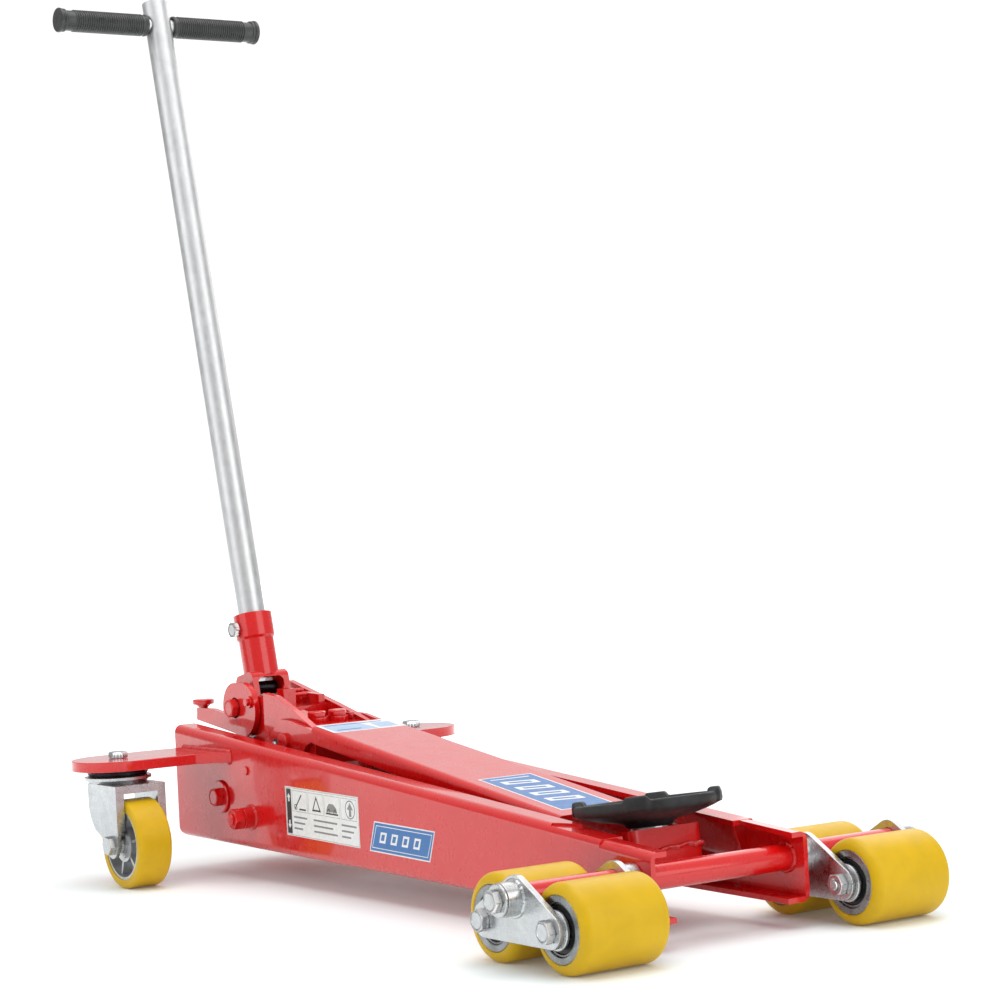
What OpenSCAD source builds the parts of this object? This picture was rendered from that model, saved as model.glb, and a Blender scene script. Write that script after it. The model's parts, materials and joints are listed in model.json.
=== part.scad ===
// Low-profile hydraulic trolley jack with tandem front rollers and rear swivel casters.
// Lengths are in millimetres. X points to the lifting end, Y to the left, Z up from the floor.
// Places along X are measured from the front axle; place() then centres the whole jack on the origin.

/* [Chassis] */
// Rear edge of the side plates, measured from the front axle
rear_x = -894; // [-900:1:-888]
// Front edge of the side plates
front_x = 26.5; // [24:0.5:30]
// Half the width over the side plates
half_w = 92.5; // [92:0.5:93]
// Thickness of the side plates
plate_t = 5; // [4:0.5:6]
// Height of the top edge at the rear
rear_top = 169; // [166:1:171]
// Height of the top edge at the front
front_top = 93.5; // [92.5:0.5:94]
// Height of the bottom edge at the rear
rear_bot = 38.2; // [37:0.1:40]
// Height of the bottom edge at the front
front_bot = 25; // [25:0.5:26]
// Width of the folded flanges
flange_w = 26.5; // [24:0.5:27]
// Outer radius of the folds
fold_r = 9; // [8:0.5:11]

/* [Front rollers] */
// Height of the front axle
axle_z = 65; // [64.5:0.5:66]
// Diameter of the front axle
axle_d = 25; // [24:0.5:26]
// Diameter of a roller
roller_d = 82; // [81:1:82]
// Width of a roller
roller_w = 94; // [92:1:94]
// Distance between the two rollers of one bogie
roller_pitch = 102; // [101:1:106]
// Distance of a roller's middle from the centre plane
roller_y = 167; // [167:1:169]

/* [Rear casters] */
// Swivel axis of the casters along the chassis
caster_x = -830; // [-836:1:-826]
// Swivel axis of the casters, away from the centre plane
caster_y = 200; // [196:1:204]
// Diameter of a caster wheel
wheel_d = 100; // [98:1:100]
// Width of a caster wheel
wheel_w = 40; // [36:1:40]
// Offset of the wheel from its swivel axis
trail = 40; // [38:1:42]
// Height of the top of the caster brackets
bracket_z = 143.5; // [143:0.5:145]

/* [Lift arm] */
// Arm pivot along the chassis
pivot_x = -702; // [-704:1:-700]
// Height of the arm pivot
pivot_z = 154; // [153:1:155]
// Saddle pivot along the chassis
head_x = -97; // [-98:1:-96]
// Height of the saddle pivot
head_z = 72; // [71:1:73]
// Half the width over the arm
arm_half_w = 52; // [51.5:0.5:52]
// Slope of the arm's top plate
arm_slope = 8.3; // [8:0.1:8.6]

/* [Saddle] */
// Diameter of the saddle
saddle_d = 145; // [140:1:150]
// Height of the rim over the saddle pivot
rim_up = 50.4; // [50:0.2:51.4]
// Nose-up tilt of the saddle
saddle_tilt = 7; // [5:0.5:8]

/* [Handle] */
// Lean of the handle at rest
lean = 12.6; // [10:0.2:14]
// Distance from the yoke pivot to the top of the tube
handle_len = 891; // [700:1:1000]
// Diameter of the tube
tube_d = 32; // [31:0.5:32]
// Half the length of the crossbar with its grips
bar_half = 137; // [110:1:160]
// Diameter of a grip
grip_d = 28; // [26:1:32]

/* [Hidden] */
$fn = 64;
E_ = 0.05;

red = "firebrick";
zinc = "silver";
yellow = "gold";
black = "dimgray";

// Overall length runs from the handle's top at the back to the front roller's tread.
yoke_x = -834.5;
yoke_z = 187;
back_end = yoke_x - handle_len * sin(lean) - tube_d / 2 * cos(lean);
front_end = roller_pitch / 2 + roller_d / 2;
mid_x = (back_end + front_end) / 2;

top_slope = atan((rear_top - front_top) / (front_x - rear_x));
bot_slope = atan((rear_bot - front_bot) / (front_x - rear_x));
step_x = -66;           // where the wide rear flange ends
step_drop = 2.5;         // the front flange lies this much lower
tie_x = -715;
tie_z = 72;
mount_x = -784;
mount_z = 91;

roller_z = roller_d / 2;
core_d = 61.4;
spindle_d = 16;
plate_gap = 4;          // spacer between a roller and its bogie plate
bogie_t = 6;
inner_y = roller_y - roller_w / 2 - plate_gap - bogie_t;
outer_y = roller_y + roller_w / 2 + plate_gap + bogie_t;
boss_len = 16;

crank_r = 55;
swing = 38;             // travel of the lift arm
crank_x = pivot_x - crank_r * sin(swing / 2);
crank_z = pivot_z - crank_r * cos(swing / 2);
crank_roller_d = 28;
cyl_z = 101;
cyl_d = 64;
ram_d = 26;

link_dx = -20;
link_dz = -30;
link_t = 6;
link_y = 57;            // inner face of a link bar
ear_t = 6;
ear_in = arm_half_w - ear_t;

yoke_half = 24.5;
lug_in = 26;
lug_out = 34;
pedal_y = 35.3;
pedal_t = 7;
piston_x = -847;
piston_d = 22;
pump_stroke = 14.2;
tower_z = 150;
roller_arm = 21;        // from the yoke pivot to the pump roller

module place() { translate([-mid_x, 0, 0]) children(); }

// A round bar along Y.
module bar_y(d, y0, y1, x = 0, z = 0) {
  translate([x, y1, z]) rotate([90, 0, 0]) cylinder(d = d, h = y1 - y0);
}

// A cone or stepped round along Y.
module cone_y(d0, d1, y0, y1, x = 0, z = 0) {
  translate([x, y1, z]) rotate([90, 0, 0]) cylinder(d1 = d1, d2 = d0, h = y1 - y0);
}

// A hexagon along Y, af across its flats.
module hex_y(af, y0, y1, x = 0, z = 0, turn = 0) {
  translate([x, y1, z]) rotate([90, turn, 0]) cylinder(d = af / cos(30), h = y1 - y0, $fn = 6);
}

// Turns a drawing in X and Z into a plate between two values of Y.
module slab_y(y0, y1) {
  translate([0, y1, 0]) rotate([90, 0, 0]) linear_extrude(y1 - y0) children();
}

// Flat outline of two circles and the tangents between them.
module strap(a, ra, b, rb) {
  d = norm(b - a);
  dir = atan2(b[1] - a[1], b[0] - a[0]);
  open = acos((ra - rb) / d);
  translate(a) circle(r = ra);
  translate(b) circle(r = rb);
  ia = ra - 0.02;
  ib = rb - 0.02;
  polygon([
    a + ia * [cos(dir + open), sin(dir + open)],
    b + ib * [cos(dir + open), sin(dir + open)],
    b + ib * [cos(dir - open), sin(dir - open)],
    a + ia * [cos(dir - open), sin(dir - open)]
  ]);
}

// Places a part in the handle's own frame: origin on the yoke pivot, Z up the leaning tube.
module on_handle() { translate([yoke_x, 0, yoke_z]) rotate([0, -lean, 0]) children(); }

function top_at(x) = front_top + (front_x - x) * tan(top_slope);
function bot_at(x) = front_bot + (front_x - x) * tan(bot_slope);
function arm_top(x) = 168.5 - (x + 600) * tan(arm_slope);

// ---------- chassis ----------

// Points along an arc, from one angle to another.
function arc(cx, cz, r, a0, a1, n) =
  [for (i = [0 : n]) [cx + r * cos(a0 + (a1 - a0) * i / n), cz + r * sin(a0 + (a1 - a0) * i / n)]];

// Takes the sharp corner off a fold that starts at x0, z0 and falls by slope. up is 1 above, -1 below.
module round_fold(x0, z0, x1, slope, up) {
  pts = concat([[-2, 2], [-2, -fold_r]], arc(fold_r, -fold_r, fold_r, 180, 90, 9), [[fold_r, 2]]);
  translate([x0, -half_w, z0]) rotate([0, slope, 0]) rotate([90, 0, 90])
    linear_extrude((x1 - x0) / cos(slope)) polygon([for (p = pts) [p[0], up * p[1]]]);
}

module side_plate() {
  step_to = step_x + 16;
  difference() {
    slab_y(-half_w, -half_w + flange_w) polygon([
      [rear_x, rear_bot], [front_x, front_bot], [front_x, front_top - step_drop],
      [step_to, top_at(step_to) - step_drop], [step_to, top_at(step_to)], [rear_x, rear_top]
    ]);
    // inside of the channel
    slab_y(-half_w + plate_t, 0) polygon([
      [rear_x - 20, bot_at(rear_x - 20) + plate_t], [front_x + 20, bot_at(front_x + 20) + plate_t],
      [front_x + 20, top_at(front_x + 20) - step_drop - plate_t],
      [step_to - 40, top_at(step_to - 40) - step_drop - plate_t],
      [step_to - 40, top_at(step_to - 40) - plate_t], [rear_x - 20, top_at(rear_x - 20) - plate_t]
    ]);
    round_fold(rear_x - 20, top_at(rear_x - 20), step_to + 2, top_slope, 1);
    round_fold(step_to, top_at(step_to) - step_drop, front_x + 20, top_slope, 1);
    round_fold(rear_x - 20, bot_at(rear_x - 20), front_x + 20, bot_slope, -1);
    // slanted end of the wide rear flange, and the narrower front one
    translate([step_to, -half_w, top_at(step_to) - step_drop + 0.3]) rotate([0, top_slope, 0])
      rotate([0, 0, 40]) translate([-60, 0, 0]) cube([120, 60, 30]);
    translate([step_to + 0.5, -half_w + flange_w - 8, 60]) cube([200, 20, 60]);
    // rounded rear corner
    difference() {
      translate([rear_x - 1, -half_w - 1, rear_bot - 1]) cube([13, flange_w + 3, 13]);
      bar_y(24, -half_w - 2, -half_w + flange_w + 3, rear_x + 12, rear_bot + 12);
    }
    bar_y(axle_d + 2 * E_, -half_w - 5, 0, 0, axle_z);
    bar_y(24 + 2 * E_, -half_w - 5, 0, tie_x, tie_z);
    bar_y(14 + 2 * E_, -half_w - 5, 0, mount_x, mount_z);
    bar_y(10 + 2 * E_, -half_w - 5, -half_w + plate_t + 5, pivot_x + link_dx, pivot_z + link_dz);
  }
}
module side_plate_right() { color(red) side_plate(); }
module side_plate_left() { color(red) mirror([0, 1, 0]) side_plate(); }

module front_axle() {
  end_y = outer_y + boss_len;
  color(red) difference() {
    bar_y(axle_d, -end_y, end_y, 0, axle_z);
    for (s = [-1, 1]) bar_y(12, s > 0 ? end_y - 26 : -end_y - 1, s > 0 ? end_y + 1 : 26 - end_y, 0, axle_z);
  }
}

module axle_end_bolts() {
  end_y = outer_y + boss_len;
  for (s = [0, 1]) mirror([0, s, 0]) color(zinc) {
    bar_y(30, -end_y - 3, -end_y, 0, axle_z);
    hex_y(19, -end_y - 11, -end_y - 3, 0, axle_z, 12);
    bar_y(11.9, -end_y, -end_y + 24, 0, axle_z);
  }
}

module rear_cross_plate() {
  inside = half_w - plate_t;
  color(red) {
    translate([rear_x + 6, -inside, 52]) cube([6, 2 * inside, 38]);
    translate([rear_x + 6, -inside + flange_w, 52]) cube([22, 2 * (inside - flange_w), 6]);
  }
}

module tie_tube() {
  color(red) difference() {
    bar_y(24, -half_w - 13, half_w + 13, tie_x, tie_z);
    bar_y(14, -half_w - 14, half_w + 14, tie_x, tie_z);
  }
}

module tie_nuts() {
  for (s = [0, 1]) mirror([0, s, 0]) color(red) {
    hex_y(21, -half_w - 26, -half_w - 13, tie_x, tie_z, 8);
    bar_y(13.8, -half_w - 29, -half_w + 30, tie_x, tie_z);
  }
}

module outrigger() {
  end_r = 52;
  color(red) difference() {
    translate([0, 0, bracket_z - 11.5]) linear_extrude(11.5) {
      translate([caster_x, -caster_y]) circle(r = end_r);
      polygon([
        [caster_x - end_r, -caster_y], [caster_x + end_r, -caster_y],
        [caster_x + end_r, -half_w - 34], [caster_x + end_r + 23, -half_w],
        [caster_x - 46, -half_w], [caster_x - end_r, -half_w - 50]
      ]);
    }
    translate([caster_x, -caster_y, 100]) cylinder(d = 12 + 2 * E_, h = 60);
  }
}
module outrigger_right() { outrigger(); }
module outrigger_left() { mirror([0, 1, 0]) outrigger(); }

module link_anchors() {
  fx = pivot_x + link_dx;
  fz = pivot_z + link_dz;
  for (s = [0, 1]) mirror([0, s, 0]) color(zinc) {
    bar_y(20, -half_w + plate_t, -link_y - link_t - 0.6, fx, fz);
    bar_y(10, -half_w - 2, -half_w + plate_t, fx, fz);
    bar_y(10, -link_y - link_t - 0.6, -link_y, fx, fz);
  }
}

module mount_bolts() {
  for (s = [0, 1]) mirror([0, s, 0]) color(red) {
    bar_y(38, -half_w - 3.5, -half_w, mount_x, mount_z);
    hex_y(20, -half_w - 12, -half_w - 3.5, mount_x, mount_z, 20);
    bar_y(14, -half_w, -half_w + 34, mount_x, mount_z);
  }
}

// ---------- hydraulic unit ----------

core_half = 45;
base_half = 35;
slot_x0 = -755;
slot_x1 = -706;

module pump_block() {
  color(red) difference() {
    union() {
      // base around the lift cylinder
      slab_y(-base_half, base_half) polygon([
        [-866, 58], [-752, 58], [-752, 140], [-866, 140]
      ]);
      // rear deck and floor behind the arm
      slab_y(-lug_in, lug_in) polygon([
        [-812, 140], [-752, 140], [-752, 188], [-808, 188]
      ]);
      slab_y(-core_half, core_half) polygon([
        [-760, 126], [-745, 122], [-652, 122], [-645, 130], [-645, 165], [-700, 175], [-760, 187]
      ]);
      // right side wall that stands above the floor
      slab_y(-core_half, -core_half + 8) polygon([
        [-760, 180], [-697, 170], [-645, 160], [-645, 169], [-657, 174.5], [-696, 191], [-732, 204],
        [-760, 207]
      ]);
      // left side wall, which runs back past the yoke
      slab_y(core_half - 8, core_half) polygon([
        [-852, 172], [-740, 150], [-645, 150], [-645, 167.2], [-671, 173], [-737, 189], [-845, 213],
        [-852, 206]
      ]);
      slab_y(lug_out - 0.3, core_half - 4) polygon([
        [-848, 176], [-748, 152], [-748, 188], [-842, 200]
      ]);
      for (s = [0, 1]) mirror([0, s, 0]) {
        // yoke lugs
        slab_y(-lug_out, -lug_in) {
          translate([yoke_x, yoke_z]) circle(r = 16);
          polygon([
            [yoke_x - 16, yoke_z], [yoke_x - 16, 140], [-752, 140], [-752, 200], [yoke_x, yoke_z + 16]
          ]);
        }
        // bosses that reach the side plates
        bar_y(36, -half_w + plate_t, -base_half, mount_x, mount_z);
      }
      // pump tower
      translate([piston_x, 0, 130]) cylinder(d = 32, h = tower_z - 130);
      // square valve post
      translate([-793, -8, 180]) cube([16, 16, 28]);
      // raised collars under the plugs
      for (p = [[-694, -13], [-694, 14]]) translate([p[0], p[1], 168]) cylinder(d = 25, h = 11);
    }
    // slot in the floor
    translate([slot_x0, 1, 160]) cube([slot_x1 - slot_x0, core_half - 9, 60]);
    // cylinder seat, open at both ends
    translate([-870, 0, cyl_z]) rotate([0, 90, 0]) cylinder(d = cyl_d + 2 * E_, h = 130);
    bar_y(20 + 2 * E_, -60, 60, pivot_x, pivot_z);
    bar_y(16 + 2 * E_, -60, 60, yoke_x, yoke_z);
    for (s = [0, 1]) mirror([0, s, 0]) bar_y(14 + 2 * E_, -half_w, -half_w + plate_t + 32, mount_x, mount_z);
    translate([piston_x, 0, 134.6]) cylinder(d = piston_d + 2 * E_, h = 40);
  }
}

module block_plugs() {
  color(red) {
    for (p = [[-694, -13], [-694, 14]]) translate([p[0], p[1], 179]) {
      cylinder(d = 21, h = 5.5);
      translate([0, 0, 5.5]) cylinder(d1 = 21, d2 = 18, h = 1.5);
    }
    translate([-694, 31.8, 175.1]) cylinder(d = 9, h = 6);
  }
}

module valve_screws() {
  color(red) {
    translate([-785, 0, 208]) cylinder(d = 8, h = 3.5);
    for (p = [[-790, 204.6], [-781, 200]]) bar_y(4.5, 8, 25.9, p[0], p[1]);
  }
}

module lift_cylinder() {
  color(black) difference() {
    translate([-866, 0, cyl_z]) rotate([0, 90, 0]) cylinder(d = cyl_d, h = 118);
    translate([-856, 0, cyl_z]) rotate([0, 90, 0]) cylinder(d = 50, h = 100);
    translate([-760, 0, cyl_z]) rotate([0, 90, 0]) cylinder(d = ram_d + 2 * E_, h = 20);
  }
}

module ram_rod() {
  pad_x = crank_x - crank_roller_d / 2 - 0.45;
  color(zinc) translate([0, 0, cyl_z]) rotate([0, 90, 0]) {
    translate([0, 0, -850]) cylinder(d = 50 - 2 * E_, h = 14);
    translate([0, 0, -840]) cylinder(d = ram_d, h = pad_x + 840 - 2);
    translate([0, 0, pad_x - 6]) cylinder(d = 30, h = 6);
  }
}

module pump_piston() {
  top = yoke_z + roller_arm * cos(lean) - 8.5;
  color(zinc) {
    translate([piston_x, 0, 135 + pump_stroke]) cylinder(d = piston_d, h = top - 135 - pump_stroke);
    translate([piston_x, 0, top - 9]) cylinder(d = 28, h = 4);
  }
}

module pump_spring() {
  top = yoke_z + roller_arm * cos(lean) - 8.5;
  color(black) translate([piston_x, 0, tower_z]) difference() {
    cylinder(d = 27, h = top - 9 - tower_z - 0.05);
    translate([0, 0, -1]) cylinder(d = piston_d + 1, h = 60);
  }
}

// ---------- lift arm ----------

arm_x0 = -641;
arm_x1 = -173;
arm_t = 6;
arm_depth = 19;

module arm_section() {
  r = 7;
  w = arm_half_w;
  side = concat([[w, -arm_depth]], arc(w - r, -r, r, 0, 90, 6));
  polygon(concat(
    side, [for (i = [len(side) - 1 : -1 : 0]) [-side[i][0], side[i][1]]],
    [[-ear_in, -arm_depth], [-ear_in, -arm_t], [ear_in, -arm_t], [ear_in, -arm_depth]]
  ));
}

module arm_cheek() {
  slab_y(-arm_half_w + 0.4, -ear_in + 0.4) {
    translate([pivot_x, pivot_z]) circle(r = 20);
    translate([crank_x, crank_z]) circle(r = 14);
    polygon([
      [-711, 179.5], [-748, 151], [-743, 122], [crank_x - 12, crank_z], [crank_x + 2, crank_z - 13.5],
      [-700, 104], [-677, 126], [-656, 151], [-640, arm_top(-640) - arm_depth + 2],
      [-600, arm_top(-600) - arm_depth + 2], [-600, arm_top(-600) - 8], [-655, arm_top(-655) - 4],
      [-690, arm_top(-690) - 3]
    ]);
  }
  slab_y(-arm_half_w + 0.4, -ear_in + 0.4) {
    translate([head_x, head_z]) circle(r = 16);
    polygon([
      [-200, arm_top(-200) - 8], [-200, arm_top(-200) - arm_depth + 2], [-156, 82.5],
      [head_x - 5, head_z - 14.5], [head_x + 4, head_z + 15], [-124, 93], [-161, arm_top(-161) - 8]
    ]);
  }
}

module lift_arm() {
  color(red) difference() {
    union() {
      intersection() {
        translate([-660, 0, arm_top(-660)]) rotate([0, arm_slope, 0])
          rotate([90, 0, 90]) linear_extrude(560) arm_section();
        translate([arm_x0, -100, 0]) cube([arm_x1 - arm_x0, 200, 300]);
      }
      arm_cheek();
      mirror([0, 1, 0]) arm_cheek();
      // stiffening tubes between the side walls
      for (x = [-470, -300]) bar_y(12, -ear_in - 2, ear_in + 2, x, arm_top(x) - 10);
    }
    bar_y(20 + 2 * E_, -60, 60, pivot_x, pivot_z);
    bar_y(16 + 2 * E_, -60, 60, crank_x, crank_z);
    bar_y(16 + 2 * E_, -60, 60, head_x, head_z);
  }
}

module arm_pivot_shaft() { color(red) bar_y(20, -arm_half_w - 4, arm_half_w + 4, pivot_x, pivot_z); }

module crank_roller() {
  color(zinc) {
    bar_y(16, -arm_half_w - 2, arm_half_w + 2, crank_x, crank_z);
    bar_y(crank_roller_d, -22, 22, crank_x, crank_z);
  }
}

module saddle_pivot_pins() {
  for (s = [0, 1]) mirror([0, s, 0]) color(zinc) {
    bar_y(16, -arm_half_w, -24, head_x, head_z);
    bar_y(24, -arm_half_w - 3, -arm_half_w, head_x, head_z);
  }
}

// ---------- saddle ----------

// Places a part in the saddle's tilted frame: origin on the saddle pivot, Z square to the rim.
module on_saddle() { translate([head_x, 0, head_z]) rotate([0, -saddle_tilt, 0]) children(); }

stud_dx = 6;

module saddle_carrier() {
  cx = head_x + link_dx;
  cz = head_z + link_dz;
  w = 43;
  color(red) difference() {
    union() {
      slab_y(-42, 42) {
        strap([head_x, head_z], 14, [cx, cz], 9);
        translate([head_x, head_z]) rotate(saddle_tilt) polygon([
          [-22, 8], [-22, 21.4], [27.5, 21.4], [27.5, -12], [8, -12], [0, 0]
        ]);
      }
      // front plate, folded back at both sides
      on_saddle() translate([0, 0, -24]) linear_extrude(46.8) polygon(concat(
        [[12, -w]], arc(22.7, -w + 10, 10, -90, 0, 8), arc(22.7, w - 10, 10, 0, 90, 8), [[12, w]],
        [[12, w - 6]], arc(22.7, w - 10, 4, 90, 0, 5), arc(22.7, -w + 10, 4, 0, -90, 5), [[12, -w + 6]]
      ));
      bar_y(10, -link_y - link_t, link_y + link_t, cx, cz);
    }
    on_saddle() translate([stud_dx, 0, -14]) cylinder(d = 20 + 2 * E_, h = 60);
    for (s = [0, 1]) mirror([0, s, 0]) bar_y(16 + 2 * E_, -60, -23.5, head_x, head_z);
  }
}

module saddle_stud() {
  color(zinc) on_saddle() translate([stud_dx, 0, 0]) {
    translate([0, 0, -12]) cylinder(d = 20, h = rim_up - 21 + 12);
    translate([0, 0, 21.5]) cylinder(d = 37, h = rim_up - 26.5 - 21.5);
  }
}

module saddle_pad() {
  r = saddle_d / 2;
  z0 = rim_up - 26.5;
  color(black) on_saddle() translate([stud_dx, 0, 0]) difference() {
    union() {
      rotate_extrude($fn = 128) polygon([
        [0, z0], [19, z0], [22, z0 + 3], [24, z0 + 9], [r - 10, rim_up - 15], [r - 2, rim_up - 11],
        [r, rim_up - 8], [r, rim_up - 1], [r - 1.5, rim_up], [r - 9, rim_up], [r - 14, rim_up - 6],
        [0, rim_up - 6]
      ]);
      for (a = [45, 135, 225, 315]) rotate([0, 0, a - 9]) rotate_extrude(angle = 18, $fn = 128)
        polygon([[r - 13, rim_up - 8], [r, rim_up - 9], [r, rim_up + 4.5], [r - 2, rim_up + 6],
          [r - 8, rim_up + 6], [r - 11, rim_up + 4]]);
    }
    translate([0, 0, z0 - 1]) cylinder(d = 20, h = 6.6);
  }
}

// ---------- level links ----------

module link_bar() {
  a = [pivot_x + link_dx, pivot_z + link_dz];
  b = [head_x + link_dx, head_z + link_dz];
  color(zinc) difference() {
    union() {
      for (p = [a, b]) bar_y(19, -link_y - link_t, -link_y, p[0], p[1]);
      slab_y(-link_y - link_t, -link_y) polygon([
        a + [-2, -7.6], a + [-2, 8.4], b + [2, 7.6], b + [2, -8.4]
      ]);
    }
    bar_y(10 + 2 * E_, -80, -40, a[0], a[1]);
    bar_y(10.6, -80, -40, b[0], b[1]);
  }
}
module link_bar_right() { link_bar(); }
module link_bar_left() { mirror([0, 1, 0]) link_bar(); }

// ---------- handle ----------

neck_d = 42;
collar_d = 46;
collar_z0 = 82;
collar_z1 = 110;

module handle_socket() {
  color(red) on_handle() difference() {
    union() {
      translate([0, 0, 34]) cylinder(d = neck_d, h = collar_z0 - 34);
      translate([0, 0, collar_z0]) cylinder(d = collar_d, h = collar_z1 - collar_z0);
      translate([0, 0, collar_z0 - 3]) cylinder(d1 = neck_d, d2 = collar_d, h = 3);
      // yoke body with rounded shoulders
      slab_y(-yoke_half, yoke_half) {
        translate([-21, -2]) square([42, 33]);
        translate([-15, 25]) square([30, 14]);
        for (s = [-1, 1]) translate([s * 12, 30]) circle(r = 9);
        circle(r = 15);
      }
    }
    // arched window through the yoke
    translate([30, 0, 0]) rotate([90, 0, -90]) linear_extrude(60) {
      translate([-17, -30]) square([34, 54]);
      translate([-10, 20]) square([20, 11]);
      for (s = [-1, 1]) translate([s * 10, 24]) circle(r = 7);
    }
    bar_y(16 + 2 * E_, -60, 60, 0, 0);
    bar_y(8 + 2 * E_, -60, 60, 0, roller_arm);
    translate([0, 0, 44]) cylinder(d = tube_d + 2 * E_, h = 80);
    bar_y(10 + 2 * E_, -40, 0, 0, 93);
  }
}

module yoke_bolt() {
  color(red) {
    // one short bolt on each side, clear of the piston between them
    hex_y(20, -lug_out - 9.5, -lug_out - 0.3, yoke_x, yoke_z, 25);
    bar_y(16, -lug_out - 0.4, -17.3, yoke_x, yoke_z);
    bar_y(16, 17.3, core_half + 1, yoke_x, yoke_z);
    hex_y(22, core_half + 0.3, core_half + 11, yoke_x, yoke_z, 10);
  }
}

module pump_roller() {
  color(black) on_handle() {
    bar_y(8, -yoke_half, yoke_half, 0, roller_arm);
    bar_y(16, -15.5, 15.5, 0, roller_arm);
  }
}

module pedal_lever() {
  y0 = -pedal_y - pedal_t;
  color(red) difference() {
    union() {
      slab_y(y0, -pedal_y) {
        strap([yoke_x, yoke_z], 29.5, [yoke_x + 17, yoke_z - 1.5], 31.5);
        polygon([
          [-931, 184], [-932.5, 169.5], [-824, 155.2], [yoke_x + 10, 162], [yoke_x - 2, 177],
          [-846, 177], [-893, 184]
        ]);
      }
      bar_y(14, y0 - 2.5, y0 + 1, yoke_x + 36, yoke_z + 8);
      hex_y(8, y0 - 6, y0 - 2.4, yoke_x + 36, yoke_z + 8);
      // stem under the pad
      translate([-920, -pedal_y - pedal_t / 2, 176]) cylinder(d = 6, h = 12.4);
    }
    bar_y(24.6, -80, 0, yoke_x, yoke_z);
  }
}

module pedal_pad() {
  color(red) translate([-920, -pedal_y - pedal_t / 2, 0]) difference() {
    union() {
      translate([0, 0, 184]) cylinder(d1 = 10, d2 = 19, h = 4.5);
      translate([0, 0, 188.5]) cylinder(d = 26, h = 4.7);
      translate([0, 0, 193.2]) cylinder(d1 = 26, d2 = 23.5, h = 1.3);
    }
    translate([0, 0, 180]) cylinder(d = 6, h = 8.5);
  }
}

module socket_bolt() {
  color(zinc) on_handle() {
    hex_y(17, -collar_d / 2 - 8, -collar_d / 2 - 1, 0, 93, 15);
    bar_y(10, -collar_d / 2 - 1, -tube_d / 2 + 1.5, 0, 93);
  }
}

module handle_tube() {
  top = handle_len;
  color(zinc) on_handle() difference() {
    translate([0, 0, 46]) cylinder(d = tube_d, h = top - 46);
    translate([0, 0, 40]) cylinder(d = tube_d - 6, h = top - 43);
    bar_y(18 + 2 * E_, -30, 30, 0, top - 30);
    // groove that the socket bolt's tip runs in
    translate([0, 0, 87.5]) difference() {
      cylinder(d = tube_d + 2, h = 11);
      translate([0, 0, -1]) cylinder(d = tube_d - 3.6, h = 13);
    }
  }
}

module crossbar() {
  color(zinc) on_handle() bar_y(18, -bar_half + 3, bar_half - 3, 0, handle_len - 30);
}

module grip() {
  z = handle_len - 30;
  color(black) on_handle() difference() {
    union() {
      bar_y(grip_d - 2, -bar_half + 1.5, -30, 0, z);
      cone_y(grip_d - 4, grip_d - 2, -bar_half, -bar_half + 1.5, 0, z);
      bar_y(grip_d + 2, -bar_half + 3, -bar_half + 7, 0, z);
      bar_y(grip_d + 2, -34, -30, 0, z);
    }
    bar_y(18 + 2 * E_, -bar_half + 2.9, 0, 0, z);
  }
}
module grip_right() { grip(); }
module grip_left() { mirror([0, 1, 0]) grip(); }

// ---------- rear casters ----------

race_z = bracket_z - 11.5;
head_d = 76;
fork_half = 27;
wheel_x = caster_x + trail;
wheel_z = wheel_d / 2;

module caster_bolts() {
  for (s = [-1, 1]) translate([caster_x, s * caster_y, 0]) color(zinc) {
    translate([0, 0, bracket_z]) cylinder(d = 19 / cos(30), h = 8, $fn = 6);
    translate([0, 0, 107]) cylinder(d = 12, h = bracket_z - 107);
    translate([0, 0, 107]) cylinder(d = 19 / cos(30), h = 6, $fn = 6);
  }
}

module caster_races() {
  for (s = [-1, 1]) translate([caster_x, s * caster_y, 0]) color(black) difference() {
    union() {
      translate([0, 0, race_z - 3]) cylinder(d = 62, h = 3);
      translate([0, 0, race_z - 7]) cylinder(d1 = 66, d2 = 70, h = 4);
    }
    translate([0, 0, 100]) cylinder(d = 12 + 2 * E_, h = 60);
  }
}

module caster_fork() {
  cx = caster_x;
  cy = -caster_y;
  zt = race_z - 7.4;
  color(zinc) difference() {
    union() {
      // swivel head
      translate([cx, cy, zt - 4]) cylinder(d = head_d, h = 3);
      translate([cx, cy, zt - 1]) cylinder(d1 = head_d, d2 = head_d - 8, h = 1);
      translate([cx, cy, zt - 8]) cylinder(d1 = head_d - 12, d2 = head_d - 4, h = 4);
      // crown
      translate([cx - 16, cy - fork_half - 4, zt - 11]) cube([72, 2 * fork_half + 8, 3]);
      for (s = [-1, 1]) translate([0, cy + s * (fork_half + 2), 0]) {
        slab_y(-2, 2) {
          polygon([
            [cx - 16, zt - 8], [cx - 15.5, 90], [cx - 11, 78], [cx - 2, 66], [cx + 18, 56],
            [wheel_x - 8, 40], [wheel_x + 12, 43], [cx + 56, 62], [cx + 56, zt - 8]
          ]);
          translate([wheel_x, wheel_z - 1]) circle(r = 14);
        }
        // stiffening rim along the front edge
        slab_y(s > 0 ? -8 : -2, s > 0 ? 2 : 8) polygon([
          [cx + 52, 66], [cx + 56, 66], [cx + 56, zt - 8], [cx + 52, zt - 8]
        ]);
      }
      // front lip of the crown
      translate([cx + 52, cy - fork_half, zt - 17]) cube([4, 2 * fork_half, 9]);
    }
    translate([cx, cy, 90]) cylinder(d = 24, h = 60);
    for (s = [-1, 1]) bar_y(12 + 2 * E_, cy - 60, cy + 60, wheel_x, wheel_z);
  }
}
module caster_fork_right() { caster_fork(); }
module caster_fork_left() { mirror([0, 1, 0]) caster_fork(); }

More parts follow.
